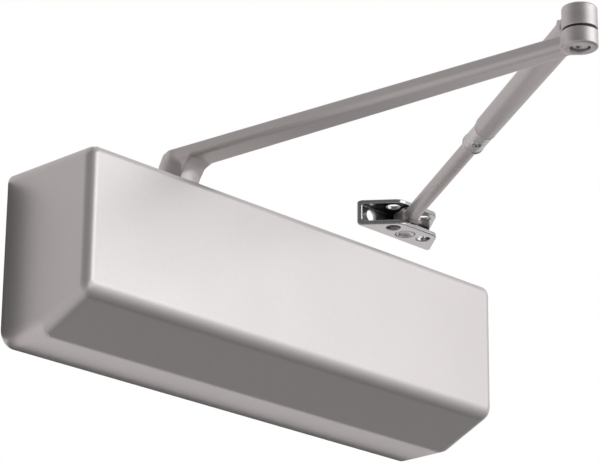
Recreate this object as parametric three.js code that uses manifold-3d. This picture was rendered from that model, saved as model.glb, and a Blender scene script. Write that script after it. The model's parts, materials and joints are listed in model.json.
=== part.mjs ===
// Surface-mounted hydraulic door closer with a regular two-piece arm.
//
// Millimetres, +Z up. The origin is the centre of the casting's back face, the face that lies on the door.
// +X runs along the closer's length, +Y points into the door, so the front of the closer faces -Y.
import * as THREE from 'three';
import { mergeVertices } from 'three/addons/utils/BufferGeometryUtils.js';
import Module from 'manifold-3d';

const wasm = await Module();
wasm.setup();

// ---------------------------------------------------------------- driving dimensions

const GAP = 0.3; // clearance kept between pieces that touch
const CUT = 1; // how far a cutting tool runs past the face it opens

// Cover: a thin shell, open at the back.
const COVER = {
  left: -158.5,
  right: 161.5, // the spring's end is the longer one
  depth: 67,
  bottom: -48,
  top: 48.8,
  wall: 2.4,
  chamferDepth: 36, // the slanted lower front face, measured along Y and Z
  chamferHeight: 16.3,
  doorGap: 0.5,
  endRadius: 5.5, // edge between front and end faces
  topRadius: 4.5, // edge between front face and top
  frontRadius: 9, // edge between front face and chamfer
  heelRadius: 6, // edge between chamfer and underside
  lowerEndRadius: 8, // edge between underside and end faces
  upperEndRadius: 6.5, // edge between top and end faces
  slotRadius: 12.5,
};

// Plan positions of the four upright axes.
const SPINDLE = new THREE.Vector2(-60.5, -26.5);
const ELBOW = new THREE.Vector2(-36.8, -292);
const SHOE_PIVOT = new THREE.Vector2(121, -34);

// Casting: a horizontal cylinder with its axis level with the origin.
const BORE = {
  y: -33,
  radius: 19,
  wall: 6,
  halfLength: 137,
  threadRadius: 21,
  threadStart: 122,
};
const RIB = { halfHeight: 16, depth: 20 };
const LUG = {
  inner: 106,
  outer: 139,
  top: 42,
  thickness: 9,
  corner: 6,
  holeX: 118,
  holeZ: 33,
  holeRadius: 3.4,
};
const BOSS = { radius: 18, top: 41, bottom: -33, bore: 12.2 };
const VALVE_BLOCK = { left: -131, right: -83, front: -54, back: -14, bottom: 12, top: 40 };
const VALVE = {
  xs: [-122, -107, -92],
  z: 31.5,
  radius: 3.2,
  hole: 3.6,
  front: -52.5,
  length: 20,
  passage: 1.2,
};
const NEEDLE = { length: 5, tip: 1, slotWidth: 1, slotDepth: 1.6 };
const VALVE_GROOVE = { from: 7, to: 9, neck: 1.9, seal: 0.7 };

// Pinion and rack: both drawn from the same module.
const GEAR = {
  module: 1.5,
  teeth: 12,
  pressure: THREE.MathUtils.degToRad(20),
  halfHeight: 17.8,
  backlash: 0.4,
};
GEAR.pitchRadius = (GEAR.module * GEAR.teeth) / 2;
GEAR.tipRadius = GEAR.pitchRadius + 1.4;
const RACK = { addendum: 0.9, dedendum: 1.8, firstTooth: -8, teeth: 10 };
const JOURNAL = 7.9; // also the radius of the solid core between the pinion's teeth
const BEARING = { inner: 8.1, outer: 11.9, length: 10, lower: -29.5, upper: 19.5 };
const SPINDLE_END = {
  bottom: -29.6,
  shoulder: 49.7,
  top: 73.5,
  flats: 11,
  threadRadius: 3.2,
  threadBottom: 54,
};
const SHAFT_SEAL = { inner: 8.1, outer: 11.9, bottom: 29.9, top: 33.4 };

const PISTON = { left: -112, right: -36, radius: 18.8, slotLeft: -101, slotRight: -48, slotBack: -10 };
const CHECK_VALVE = { radius: 4, length: 9, passage: 1.5 };
const CHECK_VALVE_END = PISTON.left + CHECK_VALVE.length;
const SPRING = { wire: 5, meanRadius: 14.2, turns: 11, start: PISTON.right + 3.2, end: 94.8 };
const SPRING_PLATE = { left: 98, thickness: 5, radius: 18.4 };
const CAP = { noseStart: 114, nose: 18.7, thread: 20.7, flange: 23, end: 142 };
const CAP_GROOVE = { from: 2.5, to: 5.5, depth: 2.4 }; // measured from the nose's end
const CAP_HOLE = { radius: 2, reach: 15, depth: 3 }; // the two spanner holes
const CAP_SEAL = 1; // section radius of the cap's O-ring
const TOP_CAP = { nose: 33.8, radius: 16, top: 44.3, holeRadius: 1.5, holeReach: 12.4, holeDepth: 2.3 };
const BOTTOM_CAP = { nose: -29.9, radius: 13, bottom: -36, slotHalf: 6, slotWidth: 2, slotDepth: 1.4 };
const ADJUSTER = { radius: 4, start: 84, collarRadius: 6.5, collarStart: 110, head: 6.5, headEnd: 148 };
const CLIP = { base: 1.2, halfHeight: 38, tongueHalf: 12, clearance: 0.4, back: -1, front: -8 };
const CLIP_SCREW = {
  radius: 1.9,
  head: 3.2,
  headHeight: 1.8,
  depth: 10,
  y: -4.5,
  z: 33,
  slotWidth: 0.8,
  slotDepth: 0.8,
};

// Main arm: a flat bar on a hub.
const ARM = {
  bottom: 72.8,
  top: 79.8,
  hubWidth: 19.5,
  elbowWidth: 12.6,
  endShort: 6, // how far the flat bar stops short of the elbow's axis, inside the boss
  lowerCorner: 2.2,
  upperCorner: 0.8,
  hubRadius: 10.6,
  hubBottom: 50,
  hubEdge: 0.8,
  shoulder: 71,
  topRadius: 7.6,
  flareBottom: 60,
  flareRadius: 6,
};
const ARM_SCREW = { radius: 2.9, bottom: 56, cone: 76.4, head: 4.7, socket: 2.6, socketDepth: 3 };
const ELBOW_BOSS = {
  radius: 9.1,
  bottom: 73.4,
  top: 81.7,
  recess: 5.1,
  recessDepth: 2.4,
  edge: 1.2,
  rim: 0.4,
};
const KNUCKLE = { bottom: 82.9, top: 94.9, radius: 9.1 };
const ELBOW_PIN = { head: 4.7, shoulder: 91.5, nub: 1.8, top: 98 };

// Forearm: a tapered sleeve, a clamp collar and a round rod with a flattened eye.
const FOREARM = {
  z: 88,
  sleeveStart: 10,
  startRadius: 6.9,
  endRadius: 6.3,
  sleeveEnd: 147,
  collarEnd: 171,
  collarRadius: 6.1,
  bore: 4.9,
  boreStart: 20,
  rodRadius: 4.6,
  rodStart: 60,
  eyeRadius: 7,
  eyeHalfHeight: 4.3,
};

// Shoe: a C-shaped bracket whose web lies on the door frame.
const SHOE = {
  halfBack: 32.5,
  halfFront: 16,
  back: -24,
  front: -45.3,
  halfHeight: 7.8,
  wall: 2.5,
  corner: 3,
  webHoleX: 22,
  webHole: 3.75,
  flangeHoleX: 13.3,
  flangeHoleY: -36.5,
  flangeHole: 4.35,
  pivotHole: 6,
};
const PIN = { radius: 4, hole: 4.3 };
const SHOE_PIN = { head: 5.7, dish: 4.6, cap: 6, capHeight: 1.8 };
const SHOE_WASHER = 0.7;
const CLAMP = {
  turn: THREE.MathUtils.degToRad(-20), // from straight down towards the sleeve's own +X
  radius: 1.7,
  boss: 2.6,
  bossEnd: 6.5,
  screwEnd: 6.8,
  socket: 0.9,
  socketDepth: 1.5,
  rim: 0.3,
  rimWidth: 1.8,
};
const EAR = { start: 9.8, tip: 13, end: 19, inner: 4.9, thickness: 2, bottom: 87, top: 93.4 };

// ---------------------------------------------------------------- materials

const FINISHES = {
  paint: { color: 0xbdb9b8, roughness: 0.5, metalness: 0.6 },
  iron: { color: 0x55585a, roughness: 0.75, metalness: 0.4 },
  steel: { color: 0x9a9a9c, roughness: 0.35, metalness: 0.9 },
  spring: { color: 0x3c3e42, roughness: 0.5, metalness: 0.8 },
  chrome: { color: 0xdadce0, roughness: 0.12, metalness: 1 },
  brass: { color: 0xb08d4a, roughness: 0.4, metalness: 0.9 },
  nylon: { color: 0x1b1b1c, roughness: 0.6, metalness: 0 },
  rubber: { color: 0x141414, roughness: 0.85, metalness: 0 },
};

// ---------------------------------------------------------------- solids

/** A closed geometry as a manifold-3d solid, shared vertices merged and collapsed faces dropped. */
function solidOf(geometry) {
  geometry.deleteAttribute('normal');
  geometry.deleteAttribute('uv');
  const merged = mergeVertices(geometry, 1e-4);
  const index = merged.getIndex().array;
  const triangles = [];
  for (let i = 0; i < index.length; i += 3) {
    const [a, b, c] = [index[i], index[i + 1], index[i + 2]];
    if (a !== b && b !== c && c !== a) triangles.push(a, b, c);
  }
  const mesh = new wasm.Mesh({
    numProp: 3,
    vertProperties: new Float32Array(merged.getAttribute('position').array),
    triVerts: new Uint32Array(triangles),
  });
  return new wasm.Manifold(mesh);
}

/** A manifold-3d solid as a BufferGeometry. */
function geometryOf(solid) {
  const mesh = solid.getMesh();
  const geometry = new THREE.BufferGeometry();
  geometry.setAttribute('position', new THREE.BufferAttribute(mesh.vertProperties.slice(), 3));
  geometry.setIndex(new THREE.BufferAttribute(mesh.triVerts.slice(), 1));
  return geometry;
}

const joined = (solids) => solids.reduce((whole, solid) => whole.add(solid));
const cutBy = (solid, tools) => tools.reduce((rest, tool) => rest.subtract(tool), solid);

// How a drawing's right, up and depth directions lie in space for an extrusion or a turned piece.
const DRAWN = {
  x: new THREE.Matrix4().makeBasis(axisVector(1), axisVector(2), axisVector(0)), // drawn in Y and Z
  y: new THREE.Matrix4().makeBasis(axisVector(0), axisVector(2), axisVector(1).negate()), // in X and Z
  z: new THREE.Matrix4(), // drawn in X and Y
};

function axisVector(i) {
  return new THREE.Vector3().setComponent(i, 1);
}

/** A flat outline extruded along an axis, from one coordinate to another. */
function prism(shape, axis, from, to, curveSegments = 6) {
  const options = { depth: to - from, bevelEnabled: false, curveSegments };
  const geometry = new THREE.ExtrudeGeometry(shape, options);
  geometry.applyMatrix4(DRAWN[axis]);
  const shift = axis === 'y' ? to : from;
  return solidOf(geometry.translate(...axisVector('xyz'.indexOf(axis)).multiplyScalar(shift)));
}

/** A box between two opposite corners. */
function block([x0, y0, z0], [x1, y1, z1]) {
  const geometry = new THREE.BoxGeometry(x1 - x0, y1 - y0, z1 - z0);
  return solidOf(geometry.translate((x0 + x1) / 2, (y0 + y1) / 2, (z0 + z1) / 2));
}

/** A piece turned on a lathe: profile points are [radius, place along the axis], rising along the axis. */
function turned(profile, axis, centre, segments = 20) {
  const points = profile.map(([radius, height]) => new THREE.Vector2(radius, height));
  const geometry = new THREE.LatheGeometry(points, segments);
  if (axis === 'x') geometry.rotateZ(-Math.PI / 2);
  if (axis === 'z') geometry.rotateX(Math.PI / 2);
  return solidOf(geometry.translate(...centre));
}

/** A plain round bar. */
function bar(radius, axis, centre, from, to, segments = 20) {
  return turned([[0, from], [radius, from], [radius, to], [0, to]], axis, centre, segments);
}

/** An O-ring or other ring of round section. */
function ring(meanRadius, sectionRadius, axis, centre, segments = 20) {
  const geometry = new THREE.TorusGeometry(meanRadius, sectionRadius, 6, segments);
  if (axis === 'x') geometry.rotateY(Math.PI / 2);
  if (axis === 'y') geometry.rotateX(Math.PI / 2);
  return solidOf(geometry.translate(...centre));
}

/** A flat ring, such as a washer or a bearing. */
function tube(inner, outer, axis, centre, from, to, segments = 20) {
  const profile = [[inner, from], [outer, from], [outer, to], [inner, to], [inner, from]];
  return turned(profile, axis, centre, segments);
}

/** A closed outline through corners [x, y, radius], each corner rounded by an arc of its radius. */
function filleted(corners) {
  const shape = new THREE.Shape();
  corners.forEach(([x, y, radius], i) => {
    const corner = new THREE.Vector2(x, y);
    const before = corners[(i + corners.length - 1) % corners.length];
    const after = corners[(i + 1) % corners.length];
    const back = new THREE.Vector2(before[0], before[1]).sub(corner).normalize();
    const ahead = new THREE.Vector2(after[0], after[1]).sub(corner).normalize();
    if (!radius) {
      if (i) shape.lineTo(x, y);
      else shape.moveTo(x, y);
      return;
    }
    const half = Math.acos(THREE.MathUtils.clamp(back.dot(ahead), -1, 1)) / 2;
    const reach = radius / Math.tan(half);
    const start = corner.clone().addScaledVector(back, reach);
    const end = corner.clone().addScaledVector(ahead, reach);
    const middle = back.clone().add(ahead).normalize();
    const centre = corner.clone().addScaledVector(middle, radius / Math.sin(half));
    const from = Math.atan2(start.y - centre.y, start.x - centre.x);
    const to = Math.atan2(end.y - centre.y, end.x - centre.x);
    if (!i) shape.moveTo(start.x, start.y);
    else shape.lineTo(start.x, start.y);
    shape.absarc(centre.x, centre.y, radius, from, to, back.cross(ahead) > 0);
  });
  return shape;
}

// ---------------------------------------------------------------- cover

/** The cover's side outline (Y, Z), shrunk inwards by inset; its back edge stands at backY. */
function coverSide(inset, backY) {
  const { chamferDepth, chamferHeight } = COVER;
  const top = COVER.top - inset;
  const bottom = COVER.bottom + inset;
  const front = -COVER.depth + inset;
  const slant = Math.hypot(chamferDepth, chamferHeight);
  const heelY = -COVER.depth + chamferDepth + (inset * (slant - chamferDepth)) / chamferHeight;
  const toeZ = COVER.bottom + chamferHeight + (inset * (slant - chamferHeight)) / chamferDepth;
  return filleted([
    [backY, bottom, 0],
    [backY, top, 0],
    [front, top, COVER.topRadius - inset],
    [front, toeZ, COVER.frontRadius - inset],
    [heelY, bottom, COVER.heelRadius - inset],
  ]);
}

/** The cover's rounded block, shrunk inwards by inset. */
function coverBlock(inset, backY) {
  const left = COVER.left + inset;
  const right = COVER.right - inset;
  const front = -COVER.depth + inset;
  const bottom = COVER.bottom + inset;
  const top = COVER.top - inset;
  const plan = filleted([
    [left, front, COVER.endRadius - inset],
    [right, front, COVER.endRadius - inset],
    [right, backY, 0],
    [left, backY, 0],
  ]);
  const elevation = filleted([
    [left, bottom, COVER.lowerEndRadius - inset],
    [right, bottom, COVER.lowerEndRadius - inset],
    [right, top, COVER.upperEndRadius - inset],
    [left, top, COVER.upperEndRadius - inset],
  ]);
  return prism(coverSide(inset, backY), 'x', left, right)
    .intersect(prism(plan, 'z', bottom, top))
    .intersect(prism(elevation, 'y', front, backY));
}

/** The slot that lets the cover slide forwards past the spindle. */
function spindleSlot() {
  const { top, slotRadius: r } = COVER;
  return bar(r, 'z', [SPINDLE.x, SPINDLE.y, 0], top - 2 * COVER.wall, top + CUT).add(
    block([SPINDLE.x - r, SPINDLE.y, top - 2 * COVER.wall], [SPINDLE.x + r, CUT, top + CUT]),
  );
}

function coverShell() {
  return cutBy(coverBlock(0, -COVER.doorGap), [coverBlock(COVER.wall, CUT), spindleSlot()]);
}

// ---------------------------------------------------------------- casting

const boreCentre = [0, BORE.y, 0];
const spindleCentre = [SPINDLE.x, SPINDLE.y, 0];

/** One mounting lug: side is -1 or 1 along X, level is -1 or 1 along Z. */
function lug(side, level) {
  const corners = [
    [side * LUG.inner, level * (RIB.halfHeight - CUT), 0],
    [side * LUG.outer, level * (RIB.halfHeight - CUT), 0],
    [side * LUG.outer, level * LUG.top, LUG.corner],
    [side * LUG.inner, level * LUG.top, LUG.corner],
  ];
  return prism(filleted(corners), 'y', -LUG.thickness, 0);
}

function bodyCasting() {
  const solids = [
    bar(BORE.radius + BORE.wall, 'x', boreCentre, -BORE.halfLength, BORE.halfLength, 28),
    bar(BOSS.radius, 'z', spindleCentre, BOSS.bottom, BOSS.top, 28),
    block([-LUG.outer, -RIB.depth, -RIB.halfHeight], [LUG.outer, 0, RIB.halfHeight]),
    block(
      [VALVE_BLOCK.left, VALVE_BLOCK.front, VALVE_BLOCK.bottom],
      [VALVE_BLOCK.right, VALVE_BLOCK.back, VALVE_BLOCK.top],
    ),
  ];
  const end = LUG.outer + CUT;
  const tools = [
    bar(BORE.radius, 'x', boreCentre, -end, end, 28),
    bar(BORE.threadRadius, 'x', boreCentre, -end, -BORE.threadStart, 28),
    bar(BORE.threadRadius, 'x', boreCentre, BORE.threadStart, end, 28),
    bar(CAP.flange + GAP, 'x', boreCentre, -end, -BORE.halfLength, 28),
    bar(CAP.flange + GAP, 'x', boreCentre, BORE.halfLength, end, 28),
    bar(BOSS.bore, 'z', spindleCentre, BOSS.bottom - CUT, BOSS.top + CUT),
  ];
  for (const side of [-1, 1]) {
    for (const level of [-1, 1]) {
      solids.push(lug(side, level));
      const hole = [side * LUG.holeX, 0, level * LUG.holeZ];
      tools.push(bar(LUG.holeRadius, 'y', hole, -LUG.thickness - CUT, CUT, 14));
      const ends = side < 0 ? [-end, -LUG.outer + CLIP_SCREW.depth] : [LUG.outer - CLIP_SCREW.depth, end];
      tools.push(bar(CLIP_SCREW.radius + GAP, 'x', [0, CLIP_SCREW.y, level * CLIP_SCREW.z], ...ends, 8));
    }
  }
  for (const x of VALVE.xs) {
    const passage = VALVE.front + VALVE.length;
    tools.push(bar(VALVE.hole, 'y', [x, 0, VALVE.z], VALVE_BLOCK.front - CUT, passage + 3, 14));
    tools.push(bar(VALVE.passage, 'z', [x, passage, 0], BORE.radius - 6, VALVE.z, 6));
  }
  return cutBy(joined(solids), tools);
}

// ---------------------------------------------------------------- caps, bearings and seals

/** An end cap screwed into the cylinder: side is -1 or 1 along X, holeRadius is its centre hole or 0. */
function endCap(side, holeRadius) {
  const thread = BORE.threadStart + GAP;
  const face = BORE.halfLength + GAP;
  const profile = [
    [0, CAP.noseStart],
    [CAP.nose, CAP.noseStart],
    [CAP.nose, CAP.noseStart + CAP_GROOVE.from],
    [CAP.nose - CAP_GROOVE.depth, CAP.noseStart + CAP_GROOVE.from],
    [CAP.nose - CAP_GROOVE.depth, CAP.noseStart + CAP_GROOVE.to],
    [CAP.nose, CAP.noseStart + CAP_GROOVE.to],
    [CAP.nose, thread],
    [CAP.thread, thread],
    [CAP.thread, face],
    [CAP.flange, face],
    [CAP.flange, CAP.end],
    [0, CAP.end],
  ];
  const cap = turned(side < 0 ? mirrored(profile) : profile, 'x', boreCentre, 28);
  const floor = CAP.end - CAP_HOLE.depth;
  const tools = [-1, 1].map((level) => {
    const ends = side < 0 ? [-CAP.end - CUT, -floor] : [floor, CAP.end + CUT];
    return bar(CAP_HOLE.radius, 'x', [0, BORE.y, level * CAP_HOLE.reach], ...ends, 8);
  });
  if (holeRadius) tools.push(bar(holeRadius, 'x', boreCentre, CAP.noseStart - CUT, CAP.end + CUT, 20));
  return cutBy(cap, tools);
}

/** The same profile on the other side of the origin, still rising along the axis. */
function mirrored(profile) {
  return profile.map(([radius, place]) => [radius, -place]).reverse();
}

function capSeal(side) {
  const middle = CAP.noseStart + (CAP_GROOVE.from + CAP_GROOVE.to) / 2;
  return ring(CAP.nose - CAP_SEAL, CAP_SEAL, 'x', [side * middle, BORE.y, 0]);
}

function bearing(from) {
  return tube(BEARING.inner, BEARING.outer, 'z', spindleCentre, from, from + BEARING.length);
}

function shaftSeal() {
  return tube(SHAFT_SEAL.inner, SHAFT_SEAL.outer, 'z', spindleCentre, SHAFT_SEAL.bottom, SHAFT_SEAL.top);
}

/** The threaded cap over the upper bearing, with a hole for the spindle and two spanner holes. */
function pinionCapTop() {
  const { nose, radius, top, holeRadius, holeReach, holeDepth } = TOP_CAP;
  const inner = JOURNAL + 0.4;
  const profile = [
    [inner, nose],
    [BEARING.outer, nose],
    [BEARING.outer, BOSS.top + GAP],
    [radius, BOSS.top + GAP],
    [radius, top],
    [inner, top],
    [inner, nose],
  ];
  const holes = [-holeReach, holeReach].map((x) =>
    bar(holeRadius, 'z', [SPINDLE.x + x, SPINDLE.y, 0], top - holeDepth, top + CUT, 10),
  );
  return cutBy(turned(profile, 'z', spindleCentre, 28), holes);
}

/** The blind cap under the lower bearing, with a screwdriver slot. */
function pinionCapBottom() {
  const { nose, radius, bottom, slotHalf, slotWidth, slotDepth } = BOTTOM_CAP;
  const profile = [
    [0, bottom],
    [radius, bottom],
    [radius, BOSS.bottom - GAP],
    [BEARING.outer, BOSS.bottom - GAP],
    [BEARING.outer, nose],
    [0, nose],
  ];
  const slot = block(
    [SPINDLE.x - slotHalf, SPINDLE.y - slotWidth / 2, bottom - CUT],
    [SPINDLE.x + slotHalf, SPINDLE.y + slotWidth / 2, bottom + slotDepth],
  );
  return turned(profile, 'z', spindleCentre, 28).subtract(slot);
}

// ---------------------------------------------------------------- pinion, rack and piston

/** How far a flank has leaned away from its base circle at a radius, as the involute's polar angle. */
function involute(radius) {
  const base = GEAR.pitchRadius * Math.cos(GEAR.pressure);
  const pressure = Math.acos(Math.min(base / radius, 1));
  return Math.tan(pressure) - pressure;
}

/** The pinion's outline about its own axis, one tooth centred on the direction that meets the rack. */
function gearOutline(towardsRack) {
  const base = GEAR.pitchRadius * Math.cos(GEAR.pressure);
  const halfPitchTooth = Math.PI / 2 / GEAR.teeth - GEAR.backlash / 2 / GEAR.pitchRadius;
  const radii = [0, 0.3, 0.6, 1].map((part) => THREE.MathUtils.lerp(base, GEAR.tipRadius, part));
  const halfAt = (radius) => halfPitchTooth + involute(GEAR.pitchRadius) - involute(radius);
  const flank = radii.map((radius) => [radius, halfAt(radius)]);
  const tooth = [
    [JOURNAL, -halfAt(base)],
    ...flank.map(([radius, half]) => [radius, -half]),
    ...flank.reverse(),
    [JOURNAL, halfAt(base)],
  ];
  const points = [];
  for (let i = 0; i < GEAR.teeth; i += 1) {
    const middle = towardsRack + (i * 2 * Math.PI) / GEAR.teeth;
    for (const [radius, angle] of tooth) {
      points.push(new THREE.Vector2(radius * Math.cos(middle + angle), radius * Math.sin(middle + angle)));
    }
  }
  return new THREE.Shape(points);
}

/** Gear, journals and the square end that carries the arm, in one piece about its own axis. */
function pinion(towardsRack) {
  const half = SPINDLE_END.flats / 2;
  const { bottom, shoulder, top, threadRadius, threadBottom } = SPINDLE_END;
  const solids = [
    prism(gearOutline(towardsRack), 'z', -GEAR.halfHeight, GEAR.halfHeight),
    bar(JOURNAL, 'z', [0, 0, 0], bottom, shoulder, 28),
    block([-half, -half, shoulder - CUT], [half, half, top]).intersect(
      bar(JOURNAL - 0.5, 'z', [0, 0, 0], shoulder - CUT, top, 28),
    ),
  ];
  return joined(solids).subtract(bar(threadRadius, 'z', [0, 0, 0], threadBottom, top + CUT, 16));
}

/** The piston's slot, with the rack's teeth along its front side. */
function rackSlot() {
  const pitchY = SPINDLE.y - GEAR.pitchRadius;
  const pitch = Math.PI * GEAR.module;
  const lean = Math.tan(GEAR.pressure);
  const rootY = pitchY - RACK.dedendum;
  const tipY = pitchY + RACK.addendum;
  const rootHalf = pitch / 4 + RACK.dedendum * lean;
  const tipHalf = pitch / 4 - RACK.addendum * lean;
  const points = [
    [PISTON.slotLeft, rootY],
    ...Array.from({ length: RACK.teeth }, (_, i) => {
      const x = SPINDLE.x + (RACK.firstTooth + i + 0.5) * pitch;
      return [
        [x - rootHalf, rootY],
        [x - tipHalf, tipY],
        [x + tipHalf, tipY],
        [x + rootHalf, rootY],
      ];
    }).flat(),
    [PISTON.slotRight, rootY],
    [PISTON.slotRight, PISTON.slotBack],
    [PISTON.slotLeft, PISTON.slotBack],
  ];
  const outline = new THREE.Shape(points.map(([x, y]) => new THREE.Vector2(x, y)));
  return prism(outline, 'z', -BORE.radius - CUT, BORE.radius + CUT);
}

function piston() {
  const tools = [
    rackSlot(),
    bar(CHECK_VALVE.radius + GAP, 'x', boreCentre, PISTON.left - CUT, CHECK_VALVE_END + GAP, 20),
    bar(CHECK_VALVE.passage, 'x', boreCentre, PISTON.left, PISTON.slotLeft + CUT, 12),
  ];
  return cutBy(bar(PISTON.radius, 'x', boreCentre, PISTON.left, PISTON.right, 28), tools);
}

/** The threaded check valve in the piston's head, open through its middle. */
function checkValve() {
  const cartridge = bar(CHECK_VALVE.radius, 'x', boreCentre, PISTON.left + GAP, CHECK_VALVE_END, 20);
  const passage = bar(CHECK_VALVE.passage, 'x', boreCentre, PISTON.left - CUT, PISTON.slotLeft, 12);
  return cartridge.subtract(passage);
}

// ---------------------------------------------------------------- spring and its adjuster

class Helix extends THREE.Curve {
  constructor(radius, from, to, turns, centre) {
    super();
    Object.assign(this, { radius, from, to, turns, centre });
  }

  getPoint(t, target = new THREE.Vector3()) {
    const angle = t * this.turns * 2 * Math.PI;
    const [, y, z] = this.centre;
    const along = this.from + t * (this.to - this.from);
    return target.set(along, y + this.radius * Math.cos(angle), z + this.radius * Math.sin(angle));
  }
}

function mainSpring() {
  const section = new THREE.Shape();
  section.absarc(0, 0, SPRING.wire / 2, 0, 2 * Math.PI);
  const path = new Helix(SPRING.meanRadius, SPRING.start, SPRING.end, SPRING.turns, boreCentre);
  const steps = SPRING.turns * 12;
  return solidOf(new THREE.ExtrudeGeometry(section, { steps, curveSegments: 3, extrudePath: path }));
}

function springPlate() {
  const { left, thickness, radius } = SPRING_PLATE;
  return tube(ADJUSTER.radius + GAP, radius, 'x', boreCentre, left, left + thickness, 28);
}

/** The long screw through the spring end cap: hexagon head outside, collar inside. */
function adjustingScrew() {
  const profile = [
    [0, ADJUSTER.start],
    [ADJUSTER.radius, ADJUSTER.start],
    [ADJUSTER.radius, ADJUSTER.collarStart],
    [ADJUSTER.collarRadius, ADJUSTER.collarStart],
    [ADJUSTER.collarRadius, CAP.noseStart - GAP],
    [ADJUSTER.radius, CAP.noseStart - GAP],
    [ADJUSTER.radius, CAP.end + 2],
    [0, CAP.end + 2],
  ];
  const head = bar(ADJUSTER.head, 'x', boreCentre, CAP.end + GAP, ADJUSTER.headEnd, 6);
  return turned(profile, 'x', boreCentre, 24).add(head);
}

// ---------------------------------------------------------------- valves

/** A needle valve screw, its slotted head facing forwards and its needle over the oil passage. */
function valveScrew(x) {
  const { front, length, radius, z } = VALVE;
  const back = front + length;
  const profile = [
    [0, front],
    [radius, front],
    [radius, front + VALVE_GROOVE.from],
    [VALVE_GROOVE.neck, front + VALVE_GROOVE.from],
    [VALVE_GROOVE.neck, front + VALVE_GROOVE.to],
    [radius, front + VALVE_GROOVE.to],
    [radius, back - NEEDLE.length],
    [NEEDLE.tip, back],
    [0, back],
  ];
  const half = NEEDLE.slotWidth / 2;
  const reach = radius + CUT;
  const slot = block([x - reach, front - CUT, z - half], [x + reach, front + NEEDLE.slotDepth, z + half]);
  return turned(profile, 'y', [x, 0, z], 14).subtract(slot);
}

function valveSeal(x) {
  const { from, to, neck, seal } = VALVE_GROOVE;
  return ring(neck + GAP / 2 + seal, seal, 'y', [x, VALVE.front + (from + to) / 2, VALVE.z], 14);
}

// ---------------------------------------------------------------- cover clips

/** A spring clip on the casting's end; its tongue presses on the inside of the cover's end wall. */
function coverClip(side) {
  const face = LUG.outer + GAP;
  const { base, clearance, back, front, tongueHalf, halfHeight } = CLIP;
  const reach = (side < 0 ? -COVER.left : COVER.right) - COVER.wall - clearance;
  const strip = [[face, back], [face, front], [face + base, front], [face + base, back]];
  const tongue = [
    [face, front + 1],
    [face, front],
    [reach - 2, front - 7],
    [reach - 0.9, front - 9],
    [reach - 6, front - 19],
    [reach - 5, front - 19.5],
    [reach, front - 9],
    [reach - 1.2, front - 6.4],
    [face + base, front + 1],
  ];
  const outline = (points) => {
    const placed = points.map(([x, y]) => new THREE.Vector2(side * x, y));
    return new THREE.Shape(placed);
  };
  const clip = prism(outline(strip), 'z', -halfHeight, halfHeight).add(
    prism(outline(tongue), 'z', -tongueHalf, tongueHalf),
  );
  const ends = side < 0 ? [-face - 4, -face + 1] : [face - 1, face + 4];
  const holes = [-1, 1].map((level) =>
    bar(CLIP_SCREW.radius + GAP, 'x', [0, CLIP_SCREW.y, level * CLIP_SCREW.z], ...ends, 8),
  );
  return cutBy(clip, holes);
}

function clipScrew(side, level) {
  const seat = LUG.outer + GAP + CLIP.base + GAP;
  const { radius, head, headHeight, depth, y, z, slotWidth, slotDepth } = CLIP_SCREW;
  const profile = [
    [0, LUG.outer - depth + 1],
    [radius, LUG.outer - depth + 1],
    [radius, seat],
    [head, seat],
    [head - 0.8, seat + headHeight],
    [0, seat + headHeight],
  ];
  const screw = turned(side < 0 ? mirrored(profile) : profile, 'x', [0, y, level * z], 16);
  const outer = side * (seat + headHeight);
  const slot = block(
    [outer - slotDepth, y - slotWidth / 2, level * z - head - CUT],
    [outer + slotDepth, y + slotWidth / 2, level * z + head + CUT],
  );
  return screw.subtract(slot);
}

// ---------------------------------------------------------------- arm pieces, about the spindle's axis

const ARM_LENGTH = SPINDLE.distanceTo(ELBOW);
const FOREARM_LENGTH = ELBOW.distanceTo(SHOE_PIVOT);

/** The turn about Z that points a piece's own +Y from one plan position to another. */
function turnTowards(from, to) {
  return Math.atan2(to.y - from.y, to.x - from.x) - Math.PI / 2;
}

/** A cross-section (X, Z) drawn about a level line, swept along Y and scaled from one end to the other. */
function tapered(section, level, from, to, scaleFrom, scaleTo, scaleHeight) {
  const options = { depth: to - from, bevelEnabled: false, curveSegments: 5 };
  const geometry = new THREE.ExtrudeGeometry(section, options);
  geometry.applyMatrix4(DRAWN.y).translate(0, to, 0);
  const position = geometry.getAttribute('position');
  for (let i = 0; i < position.count; i += 1) {
    const along = (position.getY(i) - from) / (to - from);
    const scale = THREE.MathUtils.lerp(scaleFrom, scaleTo, along);
    position.setX(i, position.getX(i) * scale);
    position.setZ(i, level + position.getZ(i) * (scaleHeight ? scale : 1));
  }
  return solidOf(geometry);
}

/** A tool for a countersunk seat: narrow at the bottom, wide at the top, and open above. */
function countersink(narrow, wide, bottom, top) {
  const profile = [[0, bottom], [narrow, bottom], [wide, top], [wide, top + CUT], [0, top + CUT]];
  return turned(profile, 'z', [0, 0, 0]);
}

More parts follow.
